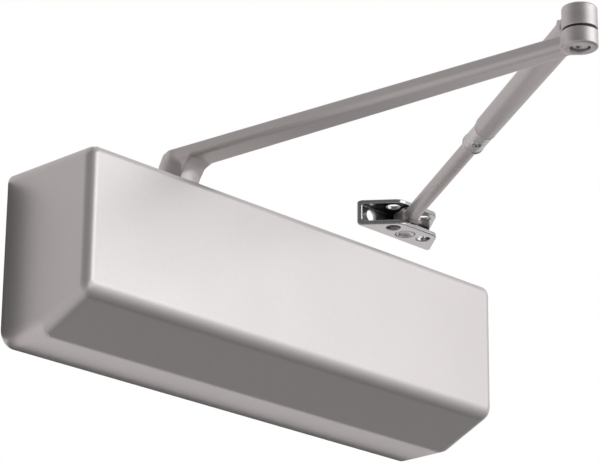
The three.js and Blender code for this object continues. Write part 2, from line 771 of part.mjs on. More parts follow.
/** The main arm: hub with a square socket and a sloping shoulder, flat bar, and the elbow's lower boss. */
function mainArm() {
  const axis = [0, 0, 0];
  const elbow = [0, ARM_LENGTH, 0];
  const halfWidth = ARM.hubWidth / 2;
  const section = filleted([
    [-halfWidth, 0, ARM.lowerCorner],
    [halfWidth, 0, ARM.lowerCorner],
    [halfWidth, ARM.top - ARM.bottom, ARM.upperCorner],
    [-halfWidth, ARM.top - ARM.bottom, ARM.upperCorner],
  ]);
  const hub = [
    [0, ARM.hubBottom],
    [ARM.hubRadius - ARM.hubEdge, ARM.hubBottom],
    [ARM.hubRadius, ARM.hubBottom + ARM.hubEdge],
    [ARM.hubRadius, ARM.shoulder],
    [ARM.topRadius, ARM.top],
    [0, ARM.top],
  ];
  const boss = [
    [0, ELBOW_BOSS.bottom],
    [ELBOW_BOSS.radius - ELBOW_BOSS.edge, ELBOW_BOSS.bottom],
    [ELBOW_BOSS.radius, ELBOW_BOSS.bottom + ELBOW_BOSS.edge],
    [ELBOW_BOSS.radius, ELBOW_BOSS.top - ELBOW_BOSS.rim],
    [ELBOW_BOSS.radius - ELBOW_BOSS.rim, ELBOW_BOSS.top],
    [0, ELBOW_BOSS.top],
  ];
  const flare = filleted([
    [0, ARM.bottom + 1, 0],
    [0, ARM.flareBottom, 0],
    [0.7 * ARM.hubRadius, ARM.flareBottom, 0],
    [ARM.hubRadius, ARM.bottom, ARM.flareRadius],
    [ARM.hubRadius + 2 * ARM.flareRadius, ARM.bottom, 0],
    [ARM.hubRadius + 2 * ARM.flareRadius, ARM.bottom + 1, 0],
  ]);
  const solids = [
    turned(hub, 'z', axis, 28),
    turned(boss, 'z', elbow, 28),
    tapered(section, ARM.bottom, 0, ARM_LENGTH - ARM.endShort, 1, ARM.elbowWidth / ARM.hubWidth, false),
    prism(flare, 'x', -ARM.hubRadius + 2, ARM.hubRadius - 2),
  ];
  const socket = SPINDLE_END.flats / 2 + GAP;
  const tools = [
    block([-socket, -socket, ARM.hubBottom - CUT], [socket, socket, SPINDLE_END.top + GAP]),
    bar(ARM_SCREW.radius + GAP, 'z', axis, SPINDLE_END.top, ARM.top + CUT, 20),
    countersink(ARM_SCREW.radius + GAP, ARM_SCREW.head + GAP, ARM_SCREW.cone, ARM.top),
    bar(ELBOW_BOSS.recess, 'z', elbow, ELBOW_BOSS.bottom - CUT, ELBOW_BOSS.bottom + ELBOW_BOSS.recessDepth),
    bar(PIN.hole, 'z', elbow, ELBOW_BOSS.bottom, ELBOW_BOSS.top + CUT),
  ];
  return cutBy(joined(solids), tools);
}

/** The countersunk screw that holds the arm on the spindle. */
function armScrew() {
  const { radius, bottom, cone, head, socket, socketDepth } = ARM_SCREW;
  const profile = [
    [0, bottom],
    [radius, bottom],
    [radius, cone + GAP],
    [head - GAP, ARM.top - 0.1],
    [0, ARM.top - 0.1],
  ];
  const drive = hexagonSocket(socket, ARM.top - socketDepth, ARM.top);
  return turned(profile, 'z', [0, 0, 0], 24).subtract(drive);
}

/** A tool for a hexagon socket in the top of a screw on the Z axis. */
function hexagonSocket(radius, bottom, top) {
  return turned([[0, bottom], [radius, bottom], [radius, top + CUT], [0, top + CUT]], 'z', [0, 0, 0], 6);
}

/** The elbow's pin: head sunk in the lower boss, shoulder in the knuckle, riveted nub on top. */
function elbowPin() {
  const recessTop = ELBOW_BOSS.bottom + ELBOW_BOSS.recessDepth - GAP;
  const profile = [
    [0, ELBOW_BOSS.bottom + 0.7],
    [ELBOW_PIN.head - 0.6, ELBOW_BOSS.bottom + 0.7],
    [ELBOW_PIN.head, ELBOW_BOSS.bottom + 1.3],
    [ELBOW_PIN.head, recessTop],
    [PIN.radius, recessTop],
    [PIN.radius, ELBOW_PIN.shoulder - GAP],
    [ELBOW_PIN.nub, ELBOW_PIN.shoulder - GAP],
    [ELBOW_PIN.nub, ELBOW_PIN.top],
    [0, ELBOW_PIN.top],
  ];
  return turned(profile, 'z', [0, ARM_LENGTH, 0], 24);
}

function elbowWasher() {
  const bottom = ELBOW_BOSS.top + GAP;
  return tube(PIN.hole, ELBOW_BOSS.radius - 0.6, 'z', [0, ARM_LENGTH, 0], bottom, KNUCKLE.bottom - GAP, 28);
}

// ---------------------------------------------------------------- forearm pieces, about the elbow's axis

/** The sleeve's section: round underneath, upright sides, flat on top. */
function sleeveSection() {
  const r = FOREARM.startRadius;
  const shape = new THREE.Shape();
  shape.absarc(0, 0, r, Math.PI, 2 * Math.PI);
  shape.lineTo(r, 0.5 * r);
  shape.lineTo(0.7 * r, 0.92 * r);
  shape.lineTo(-0.7 * r, 0.92 * r);
  shape.lineTo(-r, 0.5 * r);
  return shape;
}

/** The sleeve: elbow knuckle, neck with a pair of pointed ears, and the tapered tube. */
function forearmSleeve() {
  const { z, sleeveStart, sleeveEnd, startRadius, endRadius, bore, boreStart } = FOREARM;
  const knuckle = [
    [0, KNUCKLE.bottom],
    [KNUCKLE.radius - 0.4, KNUCKLE.bottom],
    [KNUCKLE.radius, KNUCKLE.bottom + 0.4],
    [KNUCKLE.radius, KNUCKLE.top - 1.2],
    [KNUCKLE.radius - 1.2, KNUCKLE.top],
    [0, KNUCKLE.top],
  ];
  const ear = new THREE.Shape([
    new THREE.Vector2(EAR.start, EAR.bottom),
    new THREE.Vector2(EAR.end, EAR.bottom),
    new THREE.Vector2(EAR.tip + 1, EAR.top),
    new THREE.Vector2(EAR.tip, EAR.top),
  ]);
  const solids = [
    turned(knuckle, 'z', [0, 0, 0], 28),
    tapered(sleeveSection(), z, sleeveStart, sleeveEnd, 1, endRadius / startRadius, true),
    block([-startRadius + 1, 0, KNUCKLE.bottom + 0.5], [startRadius - 1, sleeveStart + 6, z + 4.8]),
    prism(ear, 'x', EAR.inner, EAR.inner + EAR.thickness),
    prism(ear, 'x', -EAR.inner - EAR.thickness, -EAR.inner),
  ];
  const tools = [
    bar(PIN.hole, 'z', [0, 0, 0], KNUCKLE.bottom - CUT, ELBOW_PIN.shoulder, 24),
    bar(ELBOW_PIN.nub + GAP, 'z', [0, 0, 0], ELBOW_PIN.shoulder - CUT, KNUCKLE.top + CUT, 20),
    bar(bore, 'y', [0, 0, z], boreStart, sleeveEnd + CUT, 24),
  ];
  return cutBy(joined(solids), tools);
}

/** A tool or piece lying along the clamp screw, from one radius of the collar to another. */
function clampBar(radius, from, to, segments) {
  const { z, sleeveEnd, collarEnd } = FOREARM;
  const geometry = new THREE.CylinderGeometry(radius, radius, to - from, segments);
  geometry.translate(0, (from + to) / 2, 0).rotateX(-Math.PI / 2).rotateY(CLAMP.turn);
  return solidOf(geometry.translate(0, (sleeveEnd + collarEnd) / 2, z));
}

/** The collar that clamps the rod: plain tube with a raised rim at each end. */
function clampCollar() {
  const { z, bore, collarRadius, sleeveEnd, collarEnd } = FOREARM;
  const start = sleeveEnd + GAP;
  const rim = collarRadius + CLAMP.rim;
  const profile = [
    [bore, start],
    [rim, start],
    [rim, start + CLAMP.rimWidth],
    [collarRadius, start + CLAMP.rimWidth + 0.6],
    [collarRadius, collarEnd - CLAMP.rimWidth - 0.6],
    [rim, collarEnd - CLAMP.rimWidth],
    [rim, collarEnd],
    [bore, collarEnd],
    [bore, start],
  ];
  const boss = clampBar(CLAMP.boss, bore + 0.5, CLAMP.bossEnd, 20);
  const collar = turned(profile, 'y', [0, 0, z], 24).add(boss);
  return cutBy(collar, [clampBar(CLAMP.radius + GAP, 0, CLAMP.bossEnd + CUT, 16)]);
}

/** The grub screw in the collar's boss, with a hexagon socket. */
function clampScrew() {
  const screw = clampBar(CLAMP.radius, FOREARM.bore + 0.1, CLAMP.screwEnd, 16);
  const drive = clampBar(CLAMP.socket, CLAMP.screwEnd - CLAMP.socketDepth, CLAMP.screwEnd + CUT, 6);
  return screw.subtract(drive);
}

/** The rod that slides in the sleeve, flattened at its end into the shoe's eye. */
function forearmRod() {
  const { z, rodRadius, rodStart, eyeRadius, eyeHalfHeight } = FOREARM;
  const eye = [0, FOREARM_LENGTH, 0];
  const profile = [
    [0, rodStart],
    [rodRadius - 0.8, rodStart],
    [rodRadius, rodStart + 0.8],
    [rodRadius, FOREARM_LENGTH - eyeRadius],
    [0, FOREARM_LENGTH - eyeRadius],
  ];
  const neck = filleted([
    [-rodRadius, FOREARM_LENGTH - eyeRadius - 6, 0],
    [rodRadius, FOREARM_LENGTH - eyeRadius - 6, 0],
    [eyeRadius, FOREARM_LENGTH, 0],
    [-eyeRadius, FOREARM_LENGTH, 0],
  ]);
  const solids = [
    turned(profile, 'y', [0, 0, z], 24),
    bar(eyeRadius, 'z', eye, z - eyeHalfHeight, z + eyeHalfHeight, 28),
    prism(neck, 'z', z - eyeHalfHeight, z + eyeHalfHeight),
  ];
  return cutBy(joined(solids), [bar(PIN.hole, 'z', eye, z - 6, z + 6, 24)]);
}

// ---------------------------------------------------------------- shoe pieces, about the shoe's pivot

const SHOE_BACK = SHOE.back - SHOE_PIVOT.y;
const SHOE_FRONT = SHOE.front - SHOE_PIVOT.y;
const SHOE_TOP = FOREARM.z + SHOE.halfHeight;
const SHOE_BOTTOM = FOREARM.z - SHOE.halfHeight;

/** The C-shaped bracket: two tapered flanges joined by a web that lies on the frame. */
function shoeBracket() {
  const plan = filleted([
    [-SHOE.halfBack, SHOE_BACK, 0],
    [-SHOE.halfFront, SHOE_FRONT, SHOE.corner],
    [SHOE.halfFront, SHOE_FRONT, SHOE.corner],
    [SHOE.halfBack, SHOE_BACK, 0],
  ]);
  const web = filleted([
    [-SHOE.halfBack, SHOE_BOTTOM, SHOE.corner],
    [SHOE.halfBack, SHOE_BOTTOM, SHOE.corner],
    [SHOE.halfBack, SHOE_TOP, SHOE.corner],
    [-SHOE.halfBack, SHOE_TOP, SHOE.corner],
  ]);
  const tools = [
    block(
      [-SHOE.halfBack - CUT, SHOE_FRONT - CUT, SHOE_BOTTOM + SHOE.wall],
      [SHOE.halfBack + CUT, SHOE_BACK - SHOE.wall, SHOE_TOP - SHOE.wall],
    ),
    bar(SHOE.pivotHole, 'z', [0, 0, 0], SHOE_BOTTOM - CUT, FOREARM.z, 24),
    bar(PIN.hole, 'z', [0, 0, 0], FOREARM.z, SHOE_TOP + CUT, 24),
  ];
  for (const side of [-1, 1]) {
    const flangeHole = [side * SHOE.flangeHoleX, SHOE.flangeHoleY - SHOE_PIVOT.y, 0];
    tools.push(bar(SHOE.flangeHole, 'z', flangeHole, SHOE_BOTTOM - CUT, SHOE_TOP + CUT, 18));
    const webHole = [side * SHOE.webHoleX, 0, FOREARM.z];
    tools.push(bar(SHOE.webHole, 'y', webHole, SHOE_BACK - SHOE.wall - CUT, SHOE_BACK + CUT, 16));
  }
  const webPrism = prism(web, 'y', SHOE_FRONT - CUT, SHOE_BACK);
  const blank = prism(plan, 'z', SHOE_BOTTOM, SHOE_TOP).intersect(webPrism);
  return cutBy(blank, tools);
}

/** The shoe's pivot pin: dished head in the lower flange, riveted over above the upper one. */
function shoePin() {
  const headTop = SHOE_BOTTOM + SHOE.wall - GAP;
  const profile = [
    [0, SHOE_BOTTOM + 1.2],
    [SHOE_PIN.dish, SHOE_BOTTOM + 0.1],
    [SHOE_PIN.head, SHOE_BOTTOM + 0.1],
    [SHOE_PIN.head, headTop],
    [PIN.radius, headTop],
    [PIN.radius, SHOE_TOP + GAP],
    [SHOE_PIN.cap, SHOE_TOP + GAP],
    [SHOE_PIN.cap - 1, SHOE_TOP + SHOE_PIN.capHeight],
    [0, SHOE_TOP + SHOE_PIN.capHeight],
  ];
  return turned(profile, 'z', [0, 0, 0]);
}

function shoeWasher(from) {
  return tube(PIN.hole, FOREARM.eyeRadius, 'z', [0, 0, 0], from, from + SHOE_WASHER, 24);
}

// ---------------------------------------------------------------- the object

/** A named mesh with its own material. */
function piece(name, solid, finish) {
  const material = new THREE.MeshStandardMaterial({ ...FINISHES[finish], flatShading: true });
  const mesh = new THREE.Mesh(geometryOf(solid), material);
  mesh.name = name;
  return mesh;
}

/** A group at a plan position, turned about Z. */
function turnedGroup(x, y, turn) {
  const group = new THREE.Group();
  group.position.set(x, y, 0);
  group.rotation.z = turn;
  return group;
}

const armTurn = turnTowards(SPINDLE, ELBOW);
const forearmTurn = turnTowards(ELBOW, SHOE_PIVOT);

const closer = new THREE.Group();
const arm = turnedGroup(SPINDLE.x, SPINDLE.y, armTurn);
const forearm = turnedGroup(0, ARM_LENGTH, forearmTurn - armTurn);
const shoe = turnedGroup(0, FOREARM_LENGTH, -forearmTurn);
closer.add(arm);
arm.add(forearm);
forearm.add(shoe);

closer.add(
  piece('cover', coverShell(), 'paint'),
  piece('body_casting', bodyCasting(), 'iron'),
  piece('cylinder_end_cap', endCap(-1, 0), 'steel'),
  piece('spring_end_cap', endCap(1, ADJUSTER.radius + GAP), 'steel'),
  piece('cylinder_cap_seal', capSeal(-1), 'rubber'),
  piece('spring_cap_seal', capSeal(1), 'rubber'),
  piece('pinion_cap_top', pinionCapTop(), 'steel'),
  piece('pinion_cap_bottom', pinionCapBottom(), 'steel'),
  piece('pinion_bearing_top', bearing(BEARING.upper), 'steel'),
  piece('pinion_bearing_bottom', bearing(BEARING.lower), 'steel'),
  piece('pinion_seal', shaftSeal(), 'rubber'),
  piece('piston', piston(), 'steel'),
  piece('piston_check_valve', checkValve(), 'brass'),
  piece('main_spring', mainSpring(), 'spring'),
  piece('spring_plate', springPlate(), 'steel'),
  piece('spring_adjusting_screw', adjustingScrew(), 'steel'),
);
['sweep', 'latch', 'backcheck'].forEach((role, i) => {
  closer.add(piece(`${role}_valve`, valveScrew(VALVE.xs[i]), 'brass'));
  closer.add(piece(`${role}_valve_seal`, valveSeal(VALVE.xs[i]), 'rubber'));
});
for (const [hand, side] of [['left', -1], ['right', 1]]) {
  closer.add(piece(`cover_clip_${hand}`, coverClip(side), 'spring'));
  closer.add(piece(`clip_screw_${hand}_lower`, clipScrew(side, -1), 'steel'));
  closer.add(piece(`clip_screw_${hand}_upper`, clipScrew(side, 1), 'steel'));
}
arm.add(
  piece('pinion', pinion(-Math.PI / 2 - armTurn), 'steel'),
  piece('main_arm', mainArm(), 'paint'),
  piece('arm_screw', armScrew(), 'steel'),
  piece('elbow_pin', elbowPin(), 'steel'),
  piece('elbow_washer', elbowWasher(), 'nylon'),
);
forearm.add(
  piece('forearm_sleeve', forearmSleeve(), 'paint'),
  piece('clamp_collar', clampCollar(), 'paint'),
  piece('clamp_screw', clampScrew(), 'steel'),
  piece('forearm_rod', forearmRod(), 'paint'),
);
shoe.add(
  piece('shoe_bracket', shoeBracket(), 'chrome'),
  piece('shoe_pivot_pin', shoePin(), 'steel'),
  piece('shoe_washer_lower', shoeWasher(SHOE_BOTTOM + SHOE.wall + 0.15), 'nylon'),
  piece('shoe_washer_upper', shoeWasher(FOREARM.z + FOREARM.eyeHalfHeight + 0.15), 'nylon'),
);

export default closer;
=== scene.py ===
"""Looks of a surface-mounted door closer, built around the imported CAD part.

Lengths in the shapes are in millimetres.
"""
import json
import math

import bmesh
import bpy
import numpy as np
from mathutils import Matrix, Vector

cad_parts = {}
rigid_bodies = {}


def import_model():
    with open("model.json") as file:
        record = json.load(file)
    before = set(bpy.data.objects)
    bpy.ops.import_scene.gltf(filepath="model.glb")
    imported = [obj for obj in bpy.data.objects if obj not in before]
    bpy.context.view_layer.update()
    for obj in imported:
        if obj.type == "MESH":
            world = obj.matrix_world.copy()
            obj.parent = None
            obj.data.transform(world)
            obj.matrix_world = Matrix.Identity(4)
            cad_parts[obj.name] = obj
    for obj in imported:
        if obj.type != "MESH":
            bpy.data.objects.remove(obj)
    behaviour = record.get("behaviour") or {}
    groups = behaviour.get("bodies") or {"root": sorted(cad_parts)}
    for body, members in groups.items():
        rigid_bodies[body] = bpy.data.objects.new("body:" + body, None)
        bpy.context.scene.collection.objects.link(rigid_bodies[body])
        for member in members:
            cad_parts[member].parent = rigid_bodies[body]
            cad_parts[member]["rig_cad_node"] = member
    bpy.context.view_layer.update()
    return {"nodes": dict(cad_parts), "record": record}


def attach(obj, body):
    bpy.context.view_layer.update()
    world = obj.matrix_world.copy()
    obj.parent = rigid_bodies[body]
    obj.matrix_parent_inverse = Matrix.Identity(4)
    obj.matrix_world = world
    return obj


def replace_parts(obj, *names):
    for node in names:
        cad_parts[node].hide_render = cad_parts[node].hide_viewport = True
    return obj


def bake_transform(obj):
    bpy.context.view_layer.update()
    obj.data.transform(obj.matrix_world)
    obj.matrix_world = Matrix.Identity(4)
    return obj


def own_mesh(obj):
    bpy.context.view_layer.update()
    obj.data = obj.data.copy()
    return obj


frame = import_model()
MM = 0.001

# ---------------------------------------------------------------- the object's main places, in the row frame

SPINDLE = Vector((-60.5, -26.5, 0))
ELBOW = Vector((-36.8, -292, 0))
PIVOT = Vector((121, -34, 0))
BORE_Y = -33
LEVEL = 88  # height of the forearm's axis
ARM_LENGTH = (ELBOW - SPINDLE).length
FOREARM_LENGTH = (PIVOT - ELBOW).length


def facing(at, towards=None):
    """The placement whose origin is at a plan position and whose +Y points towards another."""
    turn = 0 if towards is None else math.atan2(towards.y - at.y, towards.x - at.x) - math.pi / 2
    return Matrix.Translation(at) @ Matrix.Rotation(turn, 4, "Z")


HOME = Matrix.Identity(4)
ARM = facing(SPINDLE, ELBOW)
FOREARM = facing(ELBOW, PIVOT)
SHOE = facing(PIVOT)

# ---------------------------------------------------------------- distance fields: combine, round and cut


def meet(a, b, r=0.0):
    """The part inside both fields, its new edge rounded to radius r."""
    if not r:
        return np.maximum(a, b)
    return np.minimum(np.maximum(a, b), -r) + np.hypot(np.maximum(r + a, 0), np.maximum(r + b, 0))


def join(a, b, r):
    """Both fields together, with a fillet of radius r between them."""
    return np.maximum(np.minimum(a, b), r) - np.hypot(np.maximum(r - a, 0), np.maximum(r - b, 0))


def cut(a, b, r=0.0):
    """The first field without the second, its new edge rounded to radius r."""
    return meet(a, -b, r)


def slab(v, low, high, r_low, r_high, side):
    """side limited to low < v < high, the edge at each end rounded."""
    return meet(meet(side, low - v, r_low), v - high, r_high)


def line(u, v, p, q):
    """Distance from the line through p and q, positive on the right-hand side of the way from p to q."""
    dx, dy = q[0] - p[0], q[1] - p[1]
    return ((u - p[0]) * -dy + (v - p[1]) * dx) / -math.hypot(dx, dy)


def steps(*spans):
    """Grid coordinates from spans of (start, end, step) that follow each other."""
    parts = [np.linspace(a, b, max(2, round((b - a) / s) + 1)) for a, b, s in spans]
    return np.unique(np.round(np.concatenate(parts), 6))


PULLS, PROBE = 4, 0.02  # steps that pull a vertex onto the surface, and how far each side its slope is felt
LEAST_SLOPE, REACH = 0.25, 0.6  # least slope squared, and the share of its cell that a vertex may move by


def surfaced(field, xs, ys, zs):
    """Vertices and quads of the field's zero surface, by surface nets on an uneven grid."""
    axes = [xs, ys, zs]
    grid = np.meshgrid(*axes, indexing="ij", sparse=True)
    value = np.broadcast_to(field(*grid), [len(a) for a in axes])
    shape = np.array(value.shape) - 1
    total = np.zeros((*shape, 3))
    count = np.zeros(shape, int)
    crossings = []
    for axis in range(3):
        low = [slice(None)] * 3
        high = [slice(None)] * 3
        low[axis], high[axis] = slice(None, -1), slice(1, None)
        a, b = value[tuple(low)], value[tuple(high)]
        at = np.argwhere((a < 0) != (b < 0))
        va, vb = a[tuple(at.T)], b[tuple(at.T)]
        point = np.stack([axes[k][at[:, k]] for k in range(3)], 1).astype(float)
        point[:, axis] += va / (va - vb) * (axes[axis][at[:, axis] + 1] - axes[axis][at[:, axis]])
        u, v = [k for k in range(3) if k != axis]
        cells = []
        for du, dv in ((1, 1), (0, 1), (0, 0), (1, 0)):
            cell = at.copy()
            cell[:, u] -= du
            cell[:, v] -= dv
            cells.append(cell)
        inner = np.all([np.all((c >= 0) & (c < shape), 1) for c in cells], 0)
        for cell in cells:
            np.add.at(total, tuple(cell[inner].T), point[inner])
            np.add.at(count, tuple(cell[inner].T), 1)
        flip = (va[inner] < 0) == (axis == 1)
        crossings.append(([c[inner] for c in cells], flip))
    active = np.argwhere(count > 0)
    index = np.full(count.shape, -1)
    index[tuple(active.T)] = np.arange(len(active))
    points = total[tuple(active.T)] / count[tuple(active.T)][:, None]
    cell_size = np.stack([np.diff(axes[k])[active[:, k]] for k in range(3)], 1)
    home = points.copy()
    for _ in range(PULLS):
        f = field(*points.T)
        rises = [field(*(points + d).T) - field(*(points - d).T) for d in np.eye(3) * PROBE]
        slope = np.stack(rises, 1) / (2 * PROBE)
        size = np.maximum((slope**2).sum(1), LEAST_SLOPE)
        points = points - (f / size)[:, None] * slope
        points = home + np.clip(points - home, -REACH * cell_size, REACH * cell_size)
    quads = []
    for cells, flip in crossings:
        corner = np.stack([index[tuple(c.T)] for c in cells], 1)
        corner[flip] = corner[flip][:, ::-1]
        quads.append(corner)
    return points, np.concatenate(quads)


# ---------------------------------------------------------------- meshes


def made(name, points, faces, place=HOME, smooth=True):
    """A new mesh object from points in millimetres, placed in the row frame."""
    mesh = bpy.data.meshes.new(name)
    mesh.from_pydata([tuple(p) for p in points], [], [tuple(int(i) for i in f) for f in faces])
    mesh.transform(Matrix.Scale(MM, 4) @ place)
    mesh.update()
    mesh.polygons.foreach_set("use_smooth", [smooth] * len(mesh.polygons))
    obj = bpy.data.objects.new(name, mesh)
    bpy.context.scene.collection.objects.link(obj)
    return obj


def from_field(name, field, xs, ys, zs, place=HOME):
    """The object bounded by a distance field's zero surface, found on the given grid."""
    points, quads = surfaced(field, xs, ys, zs)
    return made(name, points, quads, place)


CORNER_STEPS = 5
MOST_OF_SIDE = 0.49  # a rounded corner takes no more than this of the side next to it


def rounded(profile):
    """A profile of (radius, height[, corner radius]) with its corners turned into curves."""
    out = []
    for i, corner in enumerate(profile):
        r = corner[2] if len(corner) > 2 else 0
        p = Vector(corner[:2])
        if not r or i in (0, len(profile) - 1):
            out.append(tuple(p))
            continue
        back = Vector(profile[i - 1][:2]) - p
        ahead = Vector(profile[i + 1][:2]) - p
        half = back.angle(ahead) / 2
        reach = min(r / math.tan(half), MOST_OF_SIDE * back.length, MOST_OF_SIDE * ahead.length)
        a, b = p + back.normalized() * reach, p + ahead.normalized() * reach
        for k in range(CORNER_STEPS + 1):
            t = k / CORNER_STEPS
            out.append(tuple((1 - t) ** 2 * a + 2 * t * (1 - t) * p + t * t * b))
    return out


AXIS_TURN = {
    "x": Matrix.Rotation(math.pi / 2, 4, "Y"),
    "y": Matrix.Rotation(-math.pi / 2, 4, "X"),
    "z": HOME,
}


def lathed(name, profile, axis, centre=(0, 0, 0), place=HOME, segments=64):
    """A piece turned about an axis.

    An open profile starts and ends on the axis, and a closed one repeats its first point.
    """
    profile = rounded(profile)
    closed = profile[0] == profile[-1]
    ring = profile[:-1] if closed else profile
    angles = [k * math.tau / segments for k in range(segments)]
    points, rows = [], []
    for r, h in ring:
        if not r:
            rows.append([len(points)] * segments)
            points.append((0, 0, h))
            continue
        rows.append(list(range(len(points), len(points) + segments)))
        points += [(r * math.cos(a), r * math.sin(a), h) for a in angles]
    faces = []
    for a, b in zip(rows, rows[1:] + rows[:1] if closed else rows[1:]):
        for k in range(segments):
            n = (k + 1) % segments
            loop = [a[k], a[n], b[n], b[k]]
            loop = [v for i, v in enumerate(loop) if v != loop[i - 1]]
            if len(loop) > 2:
                faces.append(loop)
    return made(name, points, faces, place @ Matrix.Translation(centre) @ AXIS_TURN[axis])


def facing_out(obj):
    """Turns the faces of a closed mesh outwards."""
    bm = bmesh.new()
    bm.from_mesh(obj.data)
    bmesh.ops.recalc_face_normals(bm, faces=bm.faces)
    bm.to_mesh(obj.data)
    bm.free()
    return obj


def extruded(name, outline, axis, low, high, place=HOME):
    """A flat outline of (u, v) extruded along an axis; u and v are the other two axes in X, Y, Z order."""
    n = len(outline)
    order = {"x": (2, 0, 1), "y": (0, 2, 1), "z": (0, 1, 2)}[axis]
    points = []
    for w in (low, high):
        for u, v in outline:
            p = (u, v, w)
            points.append(tuple(p[i] for i in order))
    faces = [list(range(n))[::-1], [n + i for i in range(n)]]
    faces += [[i, (i + 1) % n, n + (i + 1) % n, n + i] for i in range(n)]
    return facing_out(made(name, points, faces, place, smooth=False))


def apply(obj):
    """Turns the object's modifiers into its mesh."""
    bpy.context.view_layer.update()
    done = bpy.data.meshes.new_from_object(obj.evaluated_get(bpy.context.evaluated_depsgraph_get()))
    obj.modifiers.clear()
    old = obj.data
    obj.data = done
    bpy.data.meshes.remove(old)
    return obj


def boolean(obj, tool, operation="DIFFERENCE"):
    """Cuts the tool out of obj, or adds it, and removes the tool."""
    m = obj.modifiers.new("bool", "BOOLEAN")
    m.operation, m.solver, m.object = operation, "EXACT", tool
    apply(obj)
    bpy.data.objects.remove(tool)
    return obj


def softened(obj, width, segments, angle):
    """A bevel on every edge sharper than the angle, and smooth shading between."""
    m = obj.modifiers.new("bevel", "BEVEL")
    m.width, m.segments, m.limit_method, m.angle_limit = width * MM, segments, "ANGLE", math.radians(angle)
    m.harden_normals = True
    obj.data.polygons.foreach_set("use_smooth", [True] * len(obj.data.polygons))
    return obj


def sharpened(obj, angle):
    """Smooth shading, with a hard edge where faces meet at more than the angle."""
    obj.data.polygons.foreach_set("use_smooth", [True] * len(obj.data.polygons))
    obj.data.set_sharp_from_angle(angle=math.radians(angle))
    return obj


def drill(radius, axis, centre, low, high):
    """A round bar to cut a hole with."""
    return lathed("tool", [(0, low), (radius, low), (radius, high), (0, high)], axis, centre, segments=32)


def drilled(obj, *holes):
    """Cuts round holes, each given by what drill takes."""
    for hole in holes:
        boolean(obj, drill(*hole))


def mirrored(profile, side):
    """The profile of a piece turned about X, as it is for side 1 and mirrored for side -1."""
    return [(r, side * h, *corner) for r, h, *corner in profile][::side]


def stands(obj, body, *nodes):
    """obj rides on the body, in place of the CAD nodes."""
    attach(obj, body)
    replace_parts(obj, *nodes)


# ---------------------------------------------------------------- materials


RANGE_SOCKETS = "From Min", "From Max", "To Min", "To Max"
MIX_FACTOR, MIX_A, MIX_B, MIX_RESULT = 0, 6, 7, 2  # the Mix node's sockets for colours
FULL_LEAN = 0.12  # 1 less the cosine of the lean at which a place counts as an edge


class Tree:
    """A short way to build a node tree."""

    def __init__(self, tree):
        self.tree = tree

    def add(self, kind, **values):
        node = self.tree.nodes.new(kind)
        for key, value in values.items():
            setattr(node, key, value)
        return node

    def link(self, a, b):
        self.tree.links.new(a, b)
        return b

    def ranged(self, value, low, high, from_low=0.3, from_high=0.7):
        """The value's range from from_low to from_high, made into low to high."""
        r = self.add("ShaderNodeMapRange")
        for key, v in zip(RANGE_SOCKETS, (from_low, from_high, low, high)):
            r.inputs[key].default_value = v
        self.link(value, r.inputs["Value"])
        return r.outputs["Result"]

    def maths(self, operation, a, b):
        """A sum, difference, product or the like of two values; either may be a number or a socket."""
        m = self.add("ShaderNodeMath", operation=operation)
        for socket, v in zip(m.inputs, (a, b)):
            if isinstance(v, (int, float)):
                socket.default_value = v
            else:
                self.link(v, socket)
        return m.outputs[0]


class Nodes(Tree):
    """One material's node tree."""

    def __init__(self, name):
        self.material = bpy.data.materials.new(name)
        self.material.use_nodes = True
        super().__init__(self.material.node_tree)
        self.shader = self.tree.nodes["Principled BSDF"]
        self.place = self.add("ShaderNodeTexCoord").outputs["Object"]

    def noise(self, scale, detail=3, rough=0.5, stretch=None):
        """Noise in the piece's own space, squeezed along each axis to its share in stretch."""
        n = self.add("ShaderNodeTexNoise")
        n.inputs["Scale"].default_value = scale
        n.inputs["Detail"].default_value = detail
        n.inputs["Roughness"].default_value = rough
        where = self.place
        if stretch:
            m = self.add("ShaderNodeMapping")
            m.vector_type = "TEXTURE"
            m.inputs["Scale"].default_value = stretch
            self.link(where, m.inputs["Vector"])
            where = m.outputs["Vector"]
        self.link(where, n.inputs["Vector"])
        return n.outputs["Fac"]

    def mixed(self, factor, a, b):
        """Colour a to colour b; either may be a colour or a socket."""
        m = self.add("ShaderNodeMix", data_type="RGBA")
        for socket, v in ((m.inputs[MIX_A], a), (m.inputs[MIX_B], b)):
            if isinstance(v, tuple):
                socket.default_value = (*v, 1)
            else:
                self.link(v, socket)
        self.link(factor, m.inputs[MIX_FACTOR])
        return m.outputs[MIX_RESULT]

    def edges(self, radius):
        """0 on flat faces and 1 on edges, from how far the rounded normal leans away from the face's own."""
        bevel = self.add("ShaderNodeBevel", samples=6)
        bevel.inputs["Radius"].default_value = radius
        own = self.add("ShaderNodeNewGeometry").outputs["Normal"]
        dot = self.add("ShaderNodeVectorMath", operation="DOT_PRODUCT")
        self.link(bevel.outputs[0], dot.inputs[0])
        self.link(own, dot.inputs[1])
        lean = self.maths("SUBTRACT", 1.0, dot.outputs["Value"])
        return self.ranged(lean, 0, 1, 0, FULL_LEAN)

    def bumps(self, *layers):
        """Layers of (height socket, depth in metres), one bump on another."""
        normal = None
        for height, depth in layers:
            b = self.add("ShaderNodeBump")
            b.inputs["Strength"].default_value = 1.0
            b.inputs["Distance"].default_value = depth
            self.link(height, b.inputs["Height"])
            if normal:
                self.link(normal, b.inputs["Normal"])
            normal = b.outputs["Normal"]
        self.link(normal, self.shader.inputs["Normal"])

    def done(self, colour, rough, metallic):
        """The finished material."""
        self.link(colour, self.shader.inputs["Base Color"])
        self.link(rough, self.shader.inputs["Roughness"])
        self.shader.inputs["Metallic"].default_value = metallic
        return self.material


